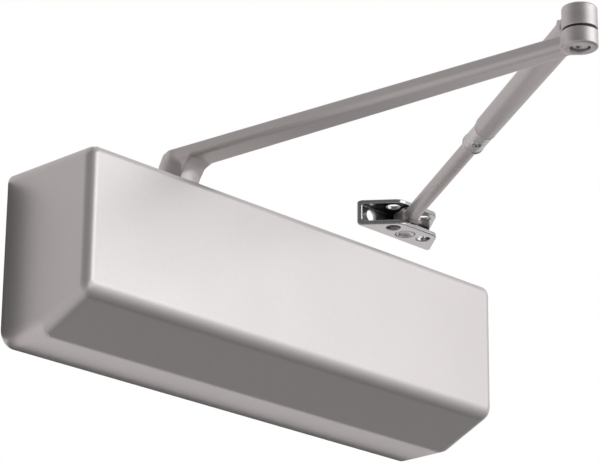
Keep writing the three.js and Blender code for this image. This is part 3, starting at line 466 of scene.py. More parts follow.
def silver_paint(name, light, dark, rough=(0.40, 0.50)):
    """Satin aluminium paint: fine flake, a faint orange peel, and slightly thinner paint on the edges."""
    n = Nodes(name)
    flake = n.noise(2600, 2, 0.7)
    cloud = n.noise(9, 3)
    speck = n.mixed(n.ranged(flake, 0, 1, 0.32, 0.68), dark, light)
    shade = n.mixed(n.ranged(cloud, 0, 0.16), speck, tuple(0.93 * c for c in dark))
    worn = n.maths("MULTIPLY", n.edges(0.0006), n.ranged(n.noise(420, 4, 0.6), 0, 0.5, 0.45, 0.75))
    colour = n.mixed(worn, shade, tuple(min(1, 1.12 * c) for c in light))
    roughness = n.maths("ADD", n.ranged(flake, rough[0], rough[1]), n.ranged(cloud, -0.02, 0.02))
    n.bumps((n.noise(330, 2), 0.000022), (flake, 0.000012))
    return n.done(colour, roughness, 0.75)


def machined(name, light, dark, rough=(0.24, 0.38), stretch=(1, 1, 0.02), scale=900):
    """Bare metal with fine tool marks across one axis, and a few darker stains."""
    n = Nodes(name)
    marks = n.noise(scale, 4, 0.65, stretch)
    stain = n.noise(60, 4, 0.6)
    base = n.mixed(n.ranged(marks, 0, 1), dark, light)
    colour = n.mixed(n.ranged(stain, 0, 0.35, 0.5, 0.75), base, tuple(0.6 * c for c in dark))
    bright = n.mixed(n.edges(0.0004), colour, tuple(min(1, 1.15 * c) for c in light))
    n.bumps((marks, 0.000015))
    return n.done(bright, n.ranged(marks, *rough), 1.0)


def cast_iron(name):
    """Rough grey iron, brighter where its edges are rubbed."""
    n = Nodes(name)
    grit = n.noise(700, 5, 0.7)
    cloud = n.noise(40, 4, 0.6)
    base = n.mixed(n.ranged(cloud, 0, 1), (0.085, 0.09, 0.095), (0.15, 0.152, 0.155))
    colour = n.mixed(n.edges(0.0012), base, (0.26, 0.26, 0.26))
    n.bumps((n.noise(190, 3), 0.00012), (grit, 0.00006))
    return n.done(colour, n.ranged(grit, 0.5, 0.72), 0.55)


def chrome(name):
    """Bright plating outside; in the pockets it is rougher, and painted shade, found by ambient occlusion,
    darkens its colour there.
    """
    n = Nodes(name)
    smear = n.noise(45, 5, 0.6)
    fine = n.noise(1500, 3, 0.6, (1, 0.06, 1))
    colour = n.mixed(n.ranged(smear, 0, 1), (0.40, 0.397, 0.40), (0.49, 0.485, 0.49))
    rim = n.edges(0.0012)
    worn = n.mixed(rim, colour, (0.93, 0.95, 0.97))
    # Painted shade: ambient occlusion darkens the colour towards a dark blue grey in pockets and hollows, and
    # makes them rougher.
    pocket_occlusion = n.add("ShaderNodeAmbientOcclusion", samples=8)
    pocket_occlusion.inputs["Distance"].default_value = 0.012
    inside = n.ranged(pocket_occlusion.outputs["AO"], 1, 0, 0.30, 0.72)
    shade = n.mixed(inside, worn, (0.19, 0.215, 0.24))
    n.bumps((n.noise(260, 2), 0.00001), (fine, 0.000002))
    dull = n.maths("MULTIPLY", n.maths("MAXIMUM", inside, rim), 0.34)
    return n.done(shade, n.maths("ADD", n.ranged(smear, 0.10, 0.20), dull), 1.0)


def moulded(name, dark, light, rough=(0.45, 0.62)):
    """Plastic or rubber: fine grain, and edges that have gone paler."""
    n = Nodes(name)
    grain = n.noise(1400, 3, 0.6)
    base = n.mixed(n.ranged(n.noise(80, 3), 0, 1), dark, light)
    colour = n.mixed(n.edges(0.0004), base, tuple(min(1, 2.2 * c) for c in light))
    n.bumps((grain, 0.00002))
    return n.done(colour, n.ranged(grain, *rough), 0.0)


TURNED, BRUSHED = (1, 1, 0.03), (1, 1, 0.2)  # shares by which two finishes' tool marks are squeezed
FINISH = {
    "paint": silver_paint("silver_paint", (0.70, 0.68, 0.675), (0.59, 0.573, 0.568)),
    "iron": cast_iron("cast_iron"),
    "steel": machined("turned_steel", (0.62, 0.62, 0.63), (0.45, 0.45, 0.46), stretch=(0.02, 1, 1)),
    "spring_steel": machined("spring_steel", (0.17, 0.17, 0.18), (0.08, 0.08, 0.09), (0.3, 0.5)),
    "chrome": chrome("bright_chrome"),
    "brass": machined("turned_brass", (0.80, 0.62, 0.32), (0.62, 0.46, 0.21), (0.22, 0.36)),
    "nylon": moulded("black_nylon", (0.012, 0.012, 0.013), (0.025, 0.025, 0.027)),
    "rubber": moulded("black_rubber", (0.010, 0.010, 0.010), (0.022, 0.022, 0.022), (0.6, 0.85)),
    # The arms' paint is a darker copy of the cover's silver paint: painted shade for the arms, which get less
    # light than the cover.
    "arm": silver_paint("arm_paint_shaded_copy", (0.62, 0.60, 0.595), (0.52, 0.503, 0.497), (0.38, 0.48)),
    "elbow": machined("elbow_metal", (0.74, 0.72, 0.72), (0.57, 0.555, 0.555), (0.46, 0.58), TURNED, 700),
    "collar": machined("collar_metal", (0.74, 0.73, 0.73), (0.52, 0.51, 0.51), (0.30, 0.44), BRUSHED, 500),
}


def coated(obj, finish):
    """Gives obj the finish of the given name."""
    obj.data.materials.clear()
    obj.data.materials.append(FINISH[finish])
    return obj


UPRIGHT, NEAR = 0.35, 0.25  # most that an upright face's normal may rise, and its distance from the cylinder


def turned_end(obj, place, radius):
    """Gives the turned metal's finish to the upright cylinder round a placement's axis."""
    obj.data.materials.append(FINISH["elbow"])
    into = place.inverted()
    for face in obj.data.polygons:
        centre = into @ (face.center / MM)
        if abs(face.normal.z) < UPRIGHT and abs(math.hypot(centre.x, centre.y) - radius) < NEAR:
            face.material_index = 1


for piece in frame["record"]["subparts"]:
    node = frame["nodes"][piece["node"]]
    sharpened(coated(node, piece["material_slot"]), 32)

# ---------------------------------------------------------------- cover

LEFT, RIGHT, DEPTH, BOTTOM, TOP = -158.5, 161.5, 67, -48, 48.8
CHAMFER_DEPTH, CHAMFER_HEIGHT = 36, 16.3
BACK_GAP, WALL = 0.5, 2.4
SLOT_RADIUS, SLOT_STEPS = 12.5, 32
FILLET_STEPS = 10
LONG_FILLETS = {(1, 6): 6, (2, 7): 10, (3, 8): 4.5}  # by corners: the chamfer's lower and upper edge, the top
END_FILLETS = (9, 7, 5.5, 6.5)  # radii round each end face: bottom, chamfer, front, top


def cover():
    """One shell, filleted, hollowed from the back and slotted for the spindle."""
    side = [
        (-BACK_GAP, BOTTOM),
        (CHAMFER_DEPTH - DEPTH, BOTTOM),
        (-DEPTH, BOTTOM + CHAMFER_HEIGHT),
        (-DEPTH, TOP),
        (-BACK_GAP, TOP),
    ]
    points = [(x, y, z) for x in (LEFT, RIGHT) for y, z in side]
    faces = [(i, i + 1, i + 6, i + 5) for i in range(4)] + [(4, 3, 2, 1, 0), (5, 6, 7, 8, 9)]
    radii = dict(LONG_FILLETS)
    for first in (0, 5):
        radii.update({(first + k, first + k + 1): r for k, r in enumerate(END_FILLETS)})
    obj = facing_out(made("cover_shell", points, faces))
    bm = bmesh.new()
    bm.from_mesh(obj.data)
    widths = {}
    for edge in bm.edges:
        key = tuple(sorted(v.index for v in edge.verts))
        if key in radii:
            widths[edge.index] = radii[key] * math.tan(edge.calc_face_angle() / 2)
    bm.free()
    widest = max(widths.values())
    weight = obj.data.attributes.new("bevel_weight_edge", "FLOAT", "EDGE")
    for i, w in widths.items():
        weight.data[i].value = w / widest
    bevel = obj.modifiers.new("fillets", "BEVEL")
    bevel.limit_method, bevel.width, bevel.segments = "WEIGHT", widest * MM, FILLET_STEPS
    apply(obj)
    solid = obj.modifiers.new("wall", "SOLIDIFY")
    solid.thickness, solid.offset, solid.use_even_offset = WALL * MM, -1, True
    apply(obj)
    arc = [math.pi * (1 + k / SLOT_STEPS) for k in range(SLOT_STEPS + 1)]
    slot = [(SPINDLE.x + SLOT_RADIUS * math.cos(a), SPINDLE.y + SLOT_RADIUS * math.sin(a)) for a in arc]
    slot += [(SPINDLE.x + SLOT_RADIUS, 2), (SPINDLE.x - SLOT_RADIUS, 2)]
    boolean(obj, extruded("slot_tool", slot, "z", TOP - 2 * WALL, TOP + 2))
    softened(obj, 0.45, 3, 50)
    normals = obj.modifiers.new("normals", "WEIGHTED_NORMAL")
    normals.keep_sharp = True
    stands(coated(obj, "paint"), "cover", "cover")


cover()

# ---------------------------------------------------------------- main arm

ARM_BOTTOM, ARM_TOP = 73.0, 80.0
HUB_HALF, ELBOW_HALF = 9.75, 6.3  # half the bar's width at each end
ELBOW_RADIUS = 9.04
BOSS_TOP = 81.7
HUB_RADIUS, HUB_BOTTOM = 11.1, 50
GUSSET_HALF, GUSSET_BOTTOM = 7.5, 60
PIN_RADIUS, PIN_HOLE = 4, 4.3
SOCKET_HALF, SOCKET_TOP = 5.8, 73.8
SCREW_HOLE, SCREW_SEAT, SEAT_BOTTOM, SCREW_HEX = 3.2, 5.0, 76.4, 2.6


def arm_field(x, y, z):
    """The main arm, its hub round Z at the origin and its elbow along +Y."""
    rho = np.hypot(x, y)
    cone = line(rho, z, (11.6, 68), (7.8, ARM_TOP))
    hub = meet(meet(rho - HUB_RADIUS, cone, 1.5), HUB_BOTTOM - z, 0.8)
    half = HUB_HALF + (ELBOW_HALF - HUB_HALF) * np.clip(y / ARM_LENGTH, 0, 1)
    bar = meet(meet(np.abs(x) - half, ARM_BOTTOM - z, 3.4), y - ARM_LENGTH + 3, 1)
    bar = meet(bar, -y, 4)
    gusset = np.maximum(np.maximum(line(y, z, (8, 61), (15.5, ARM_BOTTOM)), np.abs(x) - GUSSET_HALF), -y)
    gusset = np.maximum(np.maximum(gusset, z - ARM_BOTTOM - 1), GUSSET_BOTTOM - z)
    whole = join(join(hub, gusset, 3), bar, 3)
    whole = meet(whole, z - ARM_TOP, 0.8)
    elbow = np.hypot(x, y - ARM_LENGTH)
    boss = slab(z, ARM_BOTTOM, BOSS_TOP, 1.2, 0.4, elbow - ELBOW_RADIUS)
    whole = join(whole, boss, 1.2)
    whole = cut(whole, np.maximum(elbow - 5.1, z - 75.8), 0.35)
    whole = cut(whole, elbow - PIN_HOLE, 0.2)
    hole = np.maximum(rho - SCREW_HOLE, SOCKET_TOP - z)
    socket = np.maximum(np.maximum(np.abs(x), np.abs(y)) - SOCKET_HALF, z - SOCKET_TOP)
    seat = np.maximum(line(rho, z, (SCREW_HOLE, SEAT_BOTTOM), (SCREW_SEAT, ARM_TOP)), SEAT_BOTTOM - z)
    return cut(cut(cut(whole, socket), hole), seat, 0.2)


def main_arm():
    """The bar from the spindle to the elbow."""
    end = ARM_LENGTH
    obj = from_field(
        "main_arm_bar",
        arm_field,
        steps((-11.4, 11.4, 0.5)),
        steps((-11.4, 18, 0.5), (18, end - 13, 2.5), (end - 13, end + 9.8, 0.45)),
        steps((49.5, 82.2, 0.45)),
        ARM,
    )
    coated(obj, "arm")
    turned_end(obj, ARM @ Matrix.Translation((0, end, 0)), ELBOW_RADIUS)
    stands(obj, "spindle", "main_arm")


main_arm()


def hexagon(radius):
    """Six corners round the origin."""
    return [(radius * math.cos(k * math.pi / 3), radius * math.sin(k * math.pi / 3)) for k in range(6)]


def washer(radius, low, thick):
    """The closed profile of a washer on a pin."""
    high = low + thick
    return [(PIN_HOLE, low), (radius, low, 0.15), (radius, high, 0.15), (PIN_HOLE, high), (PIN_HOLE, low)]


def arm_screw():
    """The countersunk hexagon screw on the spindle's axis."""
    profile = [(0, 56), (2.9, 56, 0.4), (2.9, 76.7), (4.4, 79.7, 0.3), (0, 79.7)]
    obj = lathed("arm_screw_head", profile, "z", place=ARM, segments=48)
    boolean(obj, extruded("tool", hexagon(SCREW_HEX), "z", 76.8, 81, ARM))
    stands(coated(softened(obj, 0.12, 2, 40), "steel"), "spindle", "arm_screw")


def elbow_parts():
    """The rivet that the arms turn on, and the black washer between them."""
    pin = [
        (0, 74.6), (1.6, 74.6, 0.3), (2.2, 74.1, 0.3), (4.1, 74.1, 0.5), (4.7, 74.7), (4.7, 75.5),
        (PIN_RADIUS, 75.5), (PIN_RADIUS, 91.2), (1.8, 91.2), (1.8, 97.3, 0.5), (1.1, 98, 0.4), (0, 98),
    ]
    obj = lathed("elbow_rivet", pin, "z", (0, ARM_LENGTH, 0), ARM, segments=48)
    stands(coated(softened(obj, 0.05, 2, 60), "steel"), "spindle", "elbow_pin")
    obj = lathed("elbow_spacer", washer(8.5, 82, 0.6), "z", (0, ARM_LENGTH, 0), ARM)
    stands(coated(obj, "nylon"), "spindle", "elbow_washer")


arm_screw()
elbow_parts()

# ---------------------------------------------------------------- forearm

SLEEVE_START, SLEEVE_END = 10, 147
SLEEVE_RADII = 6.9, 6.3
SHOULDER_LOW, SHOULDER_TOP = (1, 0.5), (0.7, 0.92)  # the flat on each upper side, in radii
KNUCKLE_LOW, KNUCKLE_TOP = 82.9, 94.9
NECK_HALF, NECK_LOW, NECK_TOP, NECK_END = 5.9, 83.4, 92.8, 16
EAR_LOW, EAR_TOP = 87, 93.4
COLLAR_START, COLLAR_END = SLEEVE_END + 0.3, 171
COLLAR_RADIUS, RIM_RADIUS, RIM_WIDTH = 6.1, 6.38, 1.8
ROD_START, ROD_RADIUS, ROD_HOLE = 60, 4.6, 4.9
EYE_RADIUS, EYE_HALF, EYE_NECK = 7, 4.3, 13


def sleeve_field(x, y, z):
    """The forearm's tube along +Y, round below and flat above, with its knuckle round Z at the elbow."""
    rho = np.hypot(x, y)
    knuckle = slab(z, KNUCKLE_LOW, KNUCKLE_TOP, 0.4, 1.2, rho - ELBOW_RADIUS)
    up = z - LEVEL
    r = np.interp(y, (SLEEVE_START, SLEEVE_END), SLEEVE_RADII)
    side = np.abs(x)
    round_side = np.hypot(x, np.minimum(up, 0)) - r
    shoulder = line(side / r, up / r, SHOULDER_LOW, SHOULDER_TOP) * r
    tube = meet(meet(round_side, shoulder, 1.2), up - SHOULDER_TOP[1] * r, 1.0)
    tube = meet(meet(tube, SLEEVE_START - y, 1.2), y - SLEEVE_END, 0.4)
    neck = slab(z, NECK_LOW, NECK_TOP, 1, 1, side - NECK_HALF)
    neck = np.maximum(np.maximum(neck, -y), y - NECK_END)
    ear = np.maximum(line(y, z, (13, EAR_TOP), (9.8, EAR_LOW)), z - EAR_TOP)
    ear = np.maximum(np.maximum(ear, line(y, z, (19, EAR_LOW), (14, EAR_TOP))), EAR_LOW - z)
    ear = meet(ear, np.abs(side - NECK_HALF) - 1, 0.3)
    whole = join(join(join(knuckle, neck, 1.5), tube, 1.0), ear, 0.6)
    whole = cut(whole, np.maximum(rho - PIN_HOLE, z - 91.5))
    whole = cut(whole, rho - 2.1, 0.2)
    return cut(whole, np.maximum(np.hypot(x, up) - ROD_HOLE, 20 - y), 0.3)


def sleeve():
    """The forearm's outer part."""
    obj = from_field(
        "forearm_tube",
        sleeve_field,
        steps((-9.6, 9.6, 0.42)),
        steps((-9.6, 24, 0.42), (24, SLEEVE_END - 3, 3), (SLEEVE_END - 3, SLEEVE_END + 0.6, 0.4)),
        steps((80.6, 95.4, 0.42)),
        FOREARM,
    )
    coated(obj, "arm")
    turned_end(obj, FOREARM, ELBOW_RADIUS)
    stands(obj, "forearm", "forearm_sleeve")


CLAMP_TURN = math.radians(-20)
CLAMP_Y = (SLEEVE_END + COLLAR_END) / 2


def from_clamp(x, y, z):
    """Distance outwards along the clamp screw's axis, and distance from it."""
    s, c = math.sin(CLAMP_TURN), -math.cos(CLAMP_TURN)
    out = x * s + (z - LEVEL) * c
    return out, np.hypot(x * c - (z - LEVEL) * s, y - CLAMP_Y)


def collar_field(x, y, z):
    """A short barrel round the rod, with a rim at each end and a boss for the clamp screw."""
    rho = np.hypot(x, z - LEVEL)
    barrel = slab(y, COLLAR_START, COLLAR_END, 0.3, 0.3, rho - COLLAR_RADIUS)
    near = slab(y, COLLAR_START, COLLAR_START + RIM_WIDTH, 0.2, 0.2, rho - RIM_RADIUS)
    far = slab(y, COLLAR_END - RIM_WIDTH, COLLAR_END, 0.2, 0.2, rho - RIM_RADIUS)
    out, off = from_clamp(x, y, z)
    boss = meet(meet(off - 2.6, out - 6.5, 0.4), 5 - out)
    whole = join(join(barrel, np.minimum(near, far), 0.5), boss, 0.8)
    return cut(cut(whole, rho - ROD_HOLE, 0.25), np.maximum(off - 2, -out), 0.15)


def collar():
    """The clamp collar at the sleeve's end."""
    obj = from_field(
        "rod_collar",
        collar_field,
        steps((-7.2, 7.2, 0.36)),
        steps((SLEEVE_END - 0.2, COLLAR_END + 0.6, 0.36)),
        steps((80.6, 95, 0.36)),
        FOREARM,
    )
    stands(coated(obj, "collar"), "forearm", "clamp_collar")


def clamp_screw():
    """The grub screw in the collar's boss."""
    turn = Matrix.Rotation(math.pi - CLAMP_TURN, 4, "Y")
    place = FOREARM @ Matrix.Translation((0, CLAMP_Y, LEVEL)) @ turn
    profile = [(0, 5.0), (1.7, 5.0, 0.2), (1.7, 6.8, 0.2), (0, 6.8)]
    obj = lathed("clamp_grub", profile, "z", place=place, segments=32)
    boolean(obj, extruded("tool", hexagon(0.9), "z", 5.4, 8, place))
    stands(coated(softened(obj, 0.06, 2, 40), "steel"), "forearm", "clamp_screw")


def rod_field(x, y, z):
    """The round rod along +Y, flattened into an eye round Z at its end."""
    end = FOREARM_LENGTH
    up = z - LEVEL
    rod = slab(y, ROD_START, end - 6, 0.8, 0, np.hypot(x, up) - ROD_RADIUS)
    eye = slab(up, -EYE_HALF, EYE_HALF, 0.6, 0.6, np.hypot(x, y - end) - EYE_RADIUS)
    half = np.interp(y, (end - EYE_NECK, end), (ROD_RADIUS, EYE_RADIUS))
    neck = slab(up, -EYE_HALF, EYE_HALF, 0.6, 0.6, np.abs(x) - half)
    neck = meet(meet(neck, end - EYE_NECK - y, 0.8), y - end)
    return cut(join(join(rod, neck, 3), eye, 1), np.hypot(x, y - end) - PIN_HOLE, 0.25)


def rod():
    """The forearm's inner part, from inside the sleeve to the shoe."""
    start, end = ROD_START, FOREARM_LENGTH
    obj = from_field(
        "forearm_bar",
        rod_field,
        steps((-7.6, 7.6, 0.38)),
        steps((start - 0.4, start + 1.6, 0.4), (start + 1.6, end - 20, 4), (end - 20, end + 7.6, 0.38)),
        steps((82.8, 93.2, 0.38)),
        FOREARM,
    )
    stands(coated(obj, "arm"), "forearm_rod", "forearm_rod")


sleeve()
collar()
clamp_screw()
rod()

# ---------------------------------------------------------------- shoe

SHOE_LOW, SHOE_HIGH, SHEET = 80.2, 95.8, 2.5
SHOE_BACK, SHOE_FRONT = 10, -11.3
SHOE_BACK_HALF, SHOE_FRONT_HALF = 32.5, 16  # half its width at the web and at the open side
RIVET_HOLE = 6
PLATE_HOLE, PLATE_HOLE_X, PLATE_HOLE_Y = 4.35, 13.3, -2.5
WEB_HOLE, WEB_HOLE_X = 3.75, 22


def shoe_field(x, y, z):
    """A channel of thick sheet, its web at the back and its two plates narrower towards the front."""
    side = np.abs(x)
    taper = line(side, y, (SHOE_FRONT_HALF, SHOE_FRONT), (SHOE_BACK_HALF, SHOE_BACK))
    plan = meet(meet(taper, SHOE_FRONT - y, 3), y - SHOE_BACK)
    block = meet(plan, meet(SHOE_LOW - z, z - SHOE_HIGH), 0.5)
    block = meet(block, y - SHOE_BACK, 0.9)
    web = meet(side - SHOE_BACK_HALF, np.abs(z - LEVEL) - (SHOE_HIGH - SHOE_LOW) / 2, 3)
    block = np.maximum(block, web)
    pocket = meet(meet(SHOE_LOW + SHEET - z, z - SHOE_HIGH + SHEET), y - SHOE_BACK + SHEET, 1.2)
    whole = cut(block, pocket, 0.35)
    rho = np.hypot(x, y)
    whole = cut(whole, np.maximum(rho - RIVET_HOLE, z - LEVEL), 0.3)
    whole = cut(whole, np.maximum(rho - PIN_HOLE, LEVEL - z), 0.2)
    whole = cut(whole, np.hypot(side - PLATE_HOLE_X, y - PLATE_HOLE_Y) - PLATE_HOLE, 0.35)
    return cut(whole, np.maximum(np.hypot(side - WEB_HOLE_X, z - LEVEL) - WEB_HOLE, SHOE_BACK / 2 - y), 0.35)


def shoe():
    """The bright bracket, its rivet and the two washers beside the eye."""
    obj = from_field(
        "shoe_channel",
        shoe_field,
        steps((-33, 33, 0.4)),
        steps((-11.8, 10.4, 0.4)),
        steps((79.8, 96.2, 0.36)),
        SHOE,
    )
    stands(coated(obj, "chrome"), "shoe", "shoe_bracket")
    pin = [
        (0, 81.7), (3.2, 81.3, 0.8), (4.6, 80.3, 0.3), (5.6, 80.3, 0.4), (5.7, 82.4, 0.2),
        (PIN_RADIUS, 82.4), (PIN_RADIUS, 96.1), (6, 96.1, 0.3), (5.3, 97.6, 0.8), (0, 97.6),
    ]
    stands(coated(lathed("shoe_rivet", pin, "z", place=SHOE), "steel"), "shoe", "shoe_pivot_pin")
    for name, low in (("lower", 82.85), ("upper", 92.45)):
        obj = lathed(f"shoe_spacer_{name}", washer(EYE_RADIUS, low, 0.7), "z", place=SHOE, segments=48)
        stands(coated(obj, "nylon"), "shoe", f"shoe_washer_{name}")


shoe()

# ---------------------------------------------------------------- casting and what is fixed to it

BORE_RADIUS, BARREL_RADIUS = 19, 25
BARREL_END, LUG_END = 137, 139
THREAD_BORE, THREAD_START, RIM_BORE = 21, 122, 23.3
PINION_BORE, PINION_BOSS, PINION_LOW, PINION_TOP = 12.2, 18, -33, 41
LUG_X, LUG_Z = 118, 33
LUG_START, LUG_HEIGHT, LUG_DEPTH = 106, 42, 9
LUG_HOLE, VALVE_HOLE, CLIP_HOLE = 3.4, 3.6, 2.2
VALVE_XS, VALVE_Z, VALVE_FRONT, VALVE_LENGTH = (-122, -107, -92), 31.5, -52.5, 20
CLIP_SCREW_Y, CLIP_SCREW_Z = -4.5, 33
ADJUSTER_RADIUS, ADJUSTER_HOLE, ADJUSTER_HEX = 4, 4.3, 6.5


def box(x, y, z, low, high, r):
    """A block between two corners, with every edge rounded."""
    inside = None
    for v, a, b in zip((x, y, z), low, high):
        side = np.maximum(a - v, v - b)
        inside = side if inside is None else meet(inside, side, r)
    return inside


def casting_field(x, y, z):
    """The bored barrel with its rib, four lugs, pinion boss and valve block, cut off flat at the back."""
    bore = np.hypot(y - BORE_Y, z)
    spindle = np.hypot(x - SPINDLE.x, y - SPINDLE.y)
    side, up = np.abs(x), np.abs(z)
    barrel = meet(bore - BARREL_RADIUS, side - BARREL_END, 0.8)
    rib = box(x, y, z, (-LUG_END, -20, -16), (LUG_END, 0, 16), 1.2)
    lug = meet(np.maximum(LUG_START - side, side - LUG_END), up - LUG_HEIGHT, 6)
    lug = meet(lug, np.maximum(-LUG_DEPTH - y, y), 1.0)
    lug = np.maximum(lug, 14 - up)
    boss = slab(z, PINION_LOW, PINION_TOP, 1, 1, spindle - PINION_BOSS)
    block = box(x, y, z, (-131, -54, 12), (-83, -14, 40), 2)
    whole = join(join(barrel, rib, 3), lug, 3)
    whole = join(join(whole, boss, 4), block, 4)
    whole = np.maximum(whole, y)
    hollow = np.minimum(bore - BORE_RADIUS, np.maximum(bore - THREAD_BORE, THREAD_START - side))
    hollow = np.minimum(hollow, np.maximum(bore - RIM_BORE, BARREL_END - side))
    return cut(cut(whole, hollow, 0.5), spindle - PINION_BORE, 0.6)


def casting():
    """The closer's body, with the holes of its lugs, valves and clip screws cut in one go."""
    obj = from_field(
        "casting_body",
        casting_field,
        steps((-141, -80, 1.2), (-80, -40, 1.0), (-40, 104, 4), (104, 141, 1.2)),
        steps((-60, -8, 1.2), (-8, 0.8, 0.8)),
        steps((-44, 44, 1.2)),
    )
    lugs = [(x, 0, z) for x in (-LUG_X, LUG_X) for z in (-LUG_Z, LUG_Z)]
    tool, *others = (
        *(drill(LUG_HOLE, "y", lug, -LUG_DEPTH - 2, 2) for lug in lugs),
        *(drill(VALVE_HOLE, "y", (x, 0, VALVE_Z), -56, VALVE_FRONT + VALVE_LENGTH + 3) for x in VALVE_XS),
        *(
            drill(CLIP_HOLE, "x", (0, CLIP_SCREW_Y, z), *ends)
            for ends in ((-141, -129), (129, 141))
            for z in (-CLIP_SCREW_Z, CLIP_SCREW_Z)
        ),
    )
    for other in others:
        boolean(tool, other, "UNION")
    boolean(obj, tool)
    stands(coated(sharpened(obj, 40), "iron"), "closer_body", "body_casting")


def end_cap(name, node, side, hole):
    """The cap at one end of the barrel: an O-ring groove, two wrench holes, and a bore if hole isn't 0."""
    outside = [
        (18.7, 114, 0.6), (18.7, 116.5, 0.2), (16.3, 116.5, 0.2), (16.3, 119.5, 0.2), (18.7, 119.5, 0.2),
        (18.7, 122.3), (20.7, 122.3, 0.5), (20.7, 137.3), (23, 137.3, 0.3), (23, 142, 1.0), (15, 142, 0.3),
        (14, 141.4, 0.3),
    ]
    profile = [(hole, 114), *outside, (hole, 141.4)]
    if hole:
        profile.append((hole, 114))
    obj = lathed(name, mirrored(profile, side), "x", (0, BORE_Y, 0), segments=96)
    ends = sorted((side * 139, side * 143))
    drilled(obj, *((2, "x", (0, BORE_Y, z), *ends) for z in (-15, 15)))
    stands(coated(sharpened(obj, 40), "steel"), "closer_body", node)


def across(u, v, half_u, half_v):
    """A rectangle round a point, for a screwdriver slot."""
    left, right, low, high = u - half_u, u + half_u, v - half_v, v + half_v
    return [(left, low), (right, low), (right, high), (left, high)]


def pinion_caps():
    """The rings over and under the pinion: the upper lets the spindle out, the lower is blind."""
    top = [
        (8.3, 33.8), (11.9, 33.8, 0.3), (11.9, 41.3), (16, 41.3, 0.3), (16, 44.3, 0.8), (9.4, 44.3, 0.3),
        (8.3, 43.6), (8.3, 33.8),
    ]
    obj = lathed("pinion_cover_top", top, "z", SPINDLE)
    drilled(obj, *((1.5, "z", (SPINDLE.x + x, SPINDLE.y, 0), 42, 46) for x in (-12.4, 12.4)))
    stands(coated(sharpened(obj, 40), "steel"), "closer_body", "pinion_cap_top")
    bottom = [(0, -36), (13, -36, 0.8), (13, -33.3, 0.3), (11.9, -33.3), (11.9, -29.9, 0.4), (0, -29.9)]
    obj = lathed("pinion_cover_bottom", bottom, "z", SPINDLE)
    boolean(obj, extruded("tool", across(SPINDLE.x, SPINDLE.y, 6, 1), "z", -38, -34.6))
    stands(coated(sharpened(obj, 40), "steel"), "closer_body", "pinion_cap_bottom")


SPRING_WIRE, SPRING_MEAN, SPRING_TURNS = 2.5, 14.2, 11  # wire's radius, radius of its centre line, turns
SPRING_LEFT, SPRING_RIGHT = -35.5, 97.3
SPRING_CLOSED, SPRING_CLOSED_PITCH = 0.9, 5.1  # turns at each end that touch the next, and their pitch
SPRING_SEAM = 8  # turns from the piston's end to where the two parts of the spring meet
WIRE_STEPS, WIRE_SIDES = 28, 14  # steps in a turn, and sides of the wire


def wound(turn):
    """Where the wire's centre line lies along the bore after this many turns."""
    start, end = SPRING_LEFT + SPRING_WIRE, SPRING_RIGHT - SPRING_WIRE
    open_turns = SPRING_TURNS - 2 * SPRING_CLOSED
    open_pitch = (end - start - 2 * SPRING_CLOSED * SPRING_CLOSED_PITCH) / open_turns
    spread = min(max(turn - SPRING_CLOSED, 0), open_turns)
    return start + SPRING_CLOSED_PITCH * (turn - spread) + open_pitch * spread


def coil(name, first, last):
    """The main spring from turn first to turn last: a round wire wound round the bore's axis."""
    points, faces = [], []
    for k in range(first * WIRE_STEPS, last * WIRE_STEPS + 1):
        turn = k / WIRE_STEPS
        along, a = wound(turn), turn * math.tau
        if points:
            low, high = len(points) - WIRE_SIDES, len(points)
            pairs = ((j, (j + 1) % WIRE_SIDES) for j in range(WIRE_SIDES))
            faces += [(low + j, low + n, high + n, high + j) for j, n in pairs]
        for j in range(WIRE_SIDES):
            b = j * math.tau / WIRE_SIDES
            r = SPRING_MEAN + SPRING_WIRE * math.cos(b)
            points.append((along + SPRING_WIRE * math.sin(b), BORE_Y + r * math.cos(a), r * math.sin(a)))
    faces += [list(range(WIRE_SIDES))[::-1], list(range(len(points) - WIRE_SIDES, len(points)))]
    obj = facing_out(made(name, points, faces))
    obj.data.set_sharp_from_angle(angle=math.radians(50))
    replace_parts(coated(obj, "spring_steel"), "main_spring")
    return obj


def spring():
    """The spring in two parts, split at its seam: the part at the piston's end rides on the closer's body,
    and the part at the plate's end stays where it is.
    """
    left = coil("spring_coil_piston_end", 0, SPRING_SEAM)
    right = coil("spring_coil_plate_end", SPRING_SEAM, SPRING_TURNS)
    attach(left, "closer_body")
    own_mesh(left)
    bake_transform(right)


def adjuster():
    """The spring's adjusting screw: a collared shaft with a hexagon head outside the end cap."""
    shaft, head = ADJUSTER_RADIUS, ADJUSTER_HEX
    profile = [
        (0, 84), (shaft, 84, 0.8), (shaft, 110), (head, 110, 0.4), (head, 113.7, 0.4), (shaft, 113.7),
        (shaft, 142.3), (6.1, 142.3), (head, 142.6), (head, 147.2), (5.4, 148), (0, 148),
    ]
    obj = lathed("adjuster_hexagon", profile, "x", (0, BORE_Y, 0), segments=48)
    flats = [(BORE_Y + u, v) for u, v in hexagon(head)]
    round_part = lathed("tool", [(0, 80), (7, 80), (7, 142), (0, 142)], "x", (0, BORE_Y, 0), segments=24)
    boolean(obj, boolean(extruded("tool", flats, "x", 141, 150), round_part, "UNION"), "INTERSECT")
    stands(coated(sharpened(obj, 30), "steel"), "spring_adjuster", "spring_adjusting_screw")


def valve(x, node):
    """A slotted valve screw with a groove for its O-ring and a tapered tip."""
    front, back = VALVE_FRONT, VALVE_FRONT + VALVE_LENGTH
    profile = [
        (0, front), (3.2, front, 0.3), (3.2, front + 7, 0.1), (1.9, front + 7), (1.9, front + 9),
        (3.2, front + 9, 0.1), (3.2, back - 5, 0.3), (1, back, 0.2), (0, back),
    ]
    obj = lathed(f"{node}_screw", profile, "y", (x, 0, VALVE_Z), segments=40)
    slot = across(x, VALVE_Z, 4, 0.5)
    boolean(obj, extruded("tool", slot, "y", front - 1, front + 1.6))
    stands(coated(sharpened(obj, 35), "brass"), node, node)


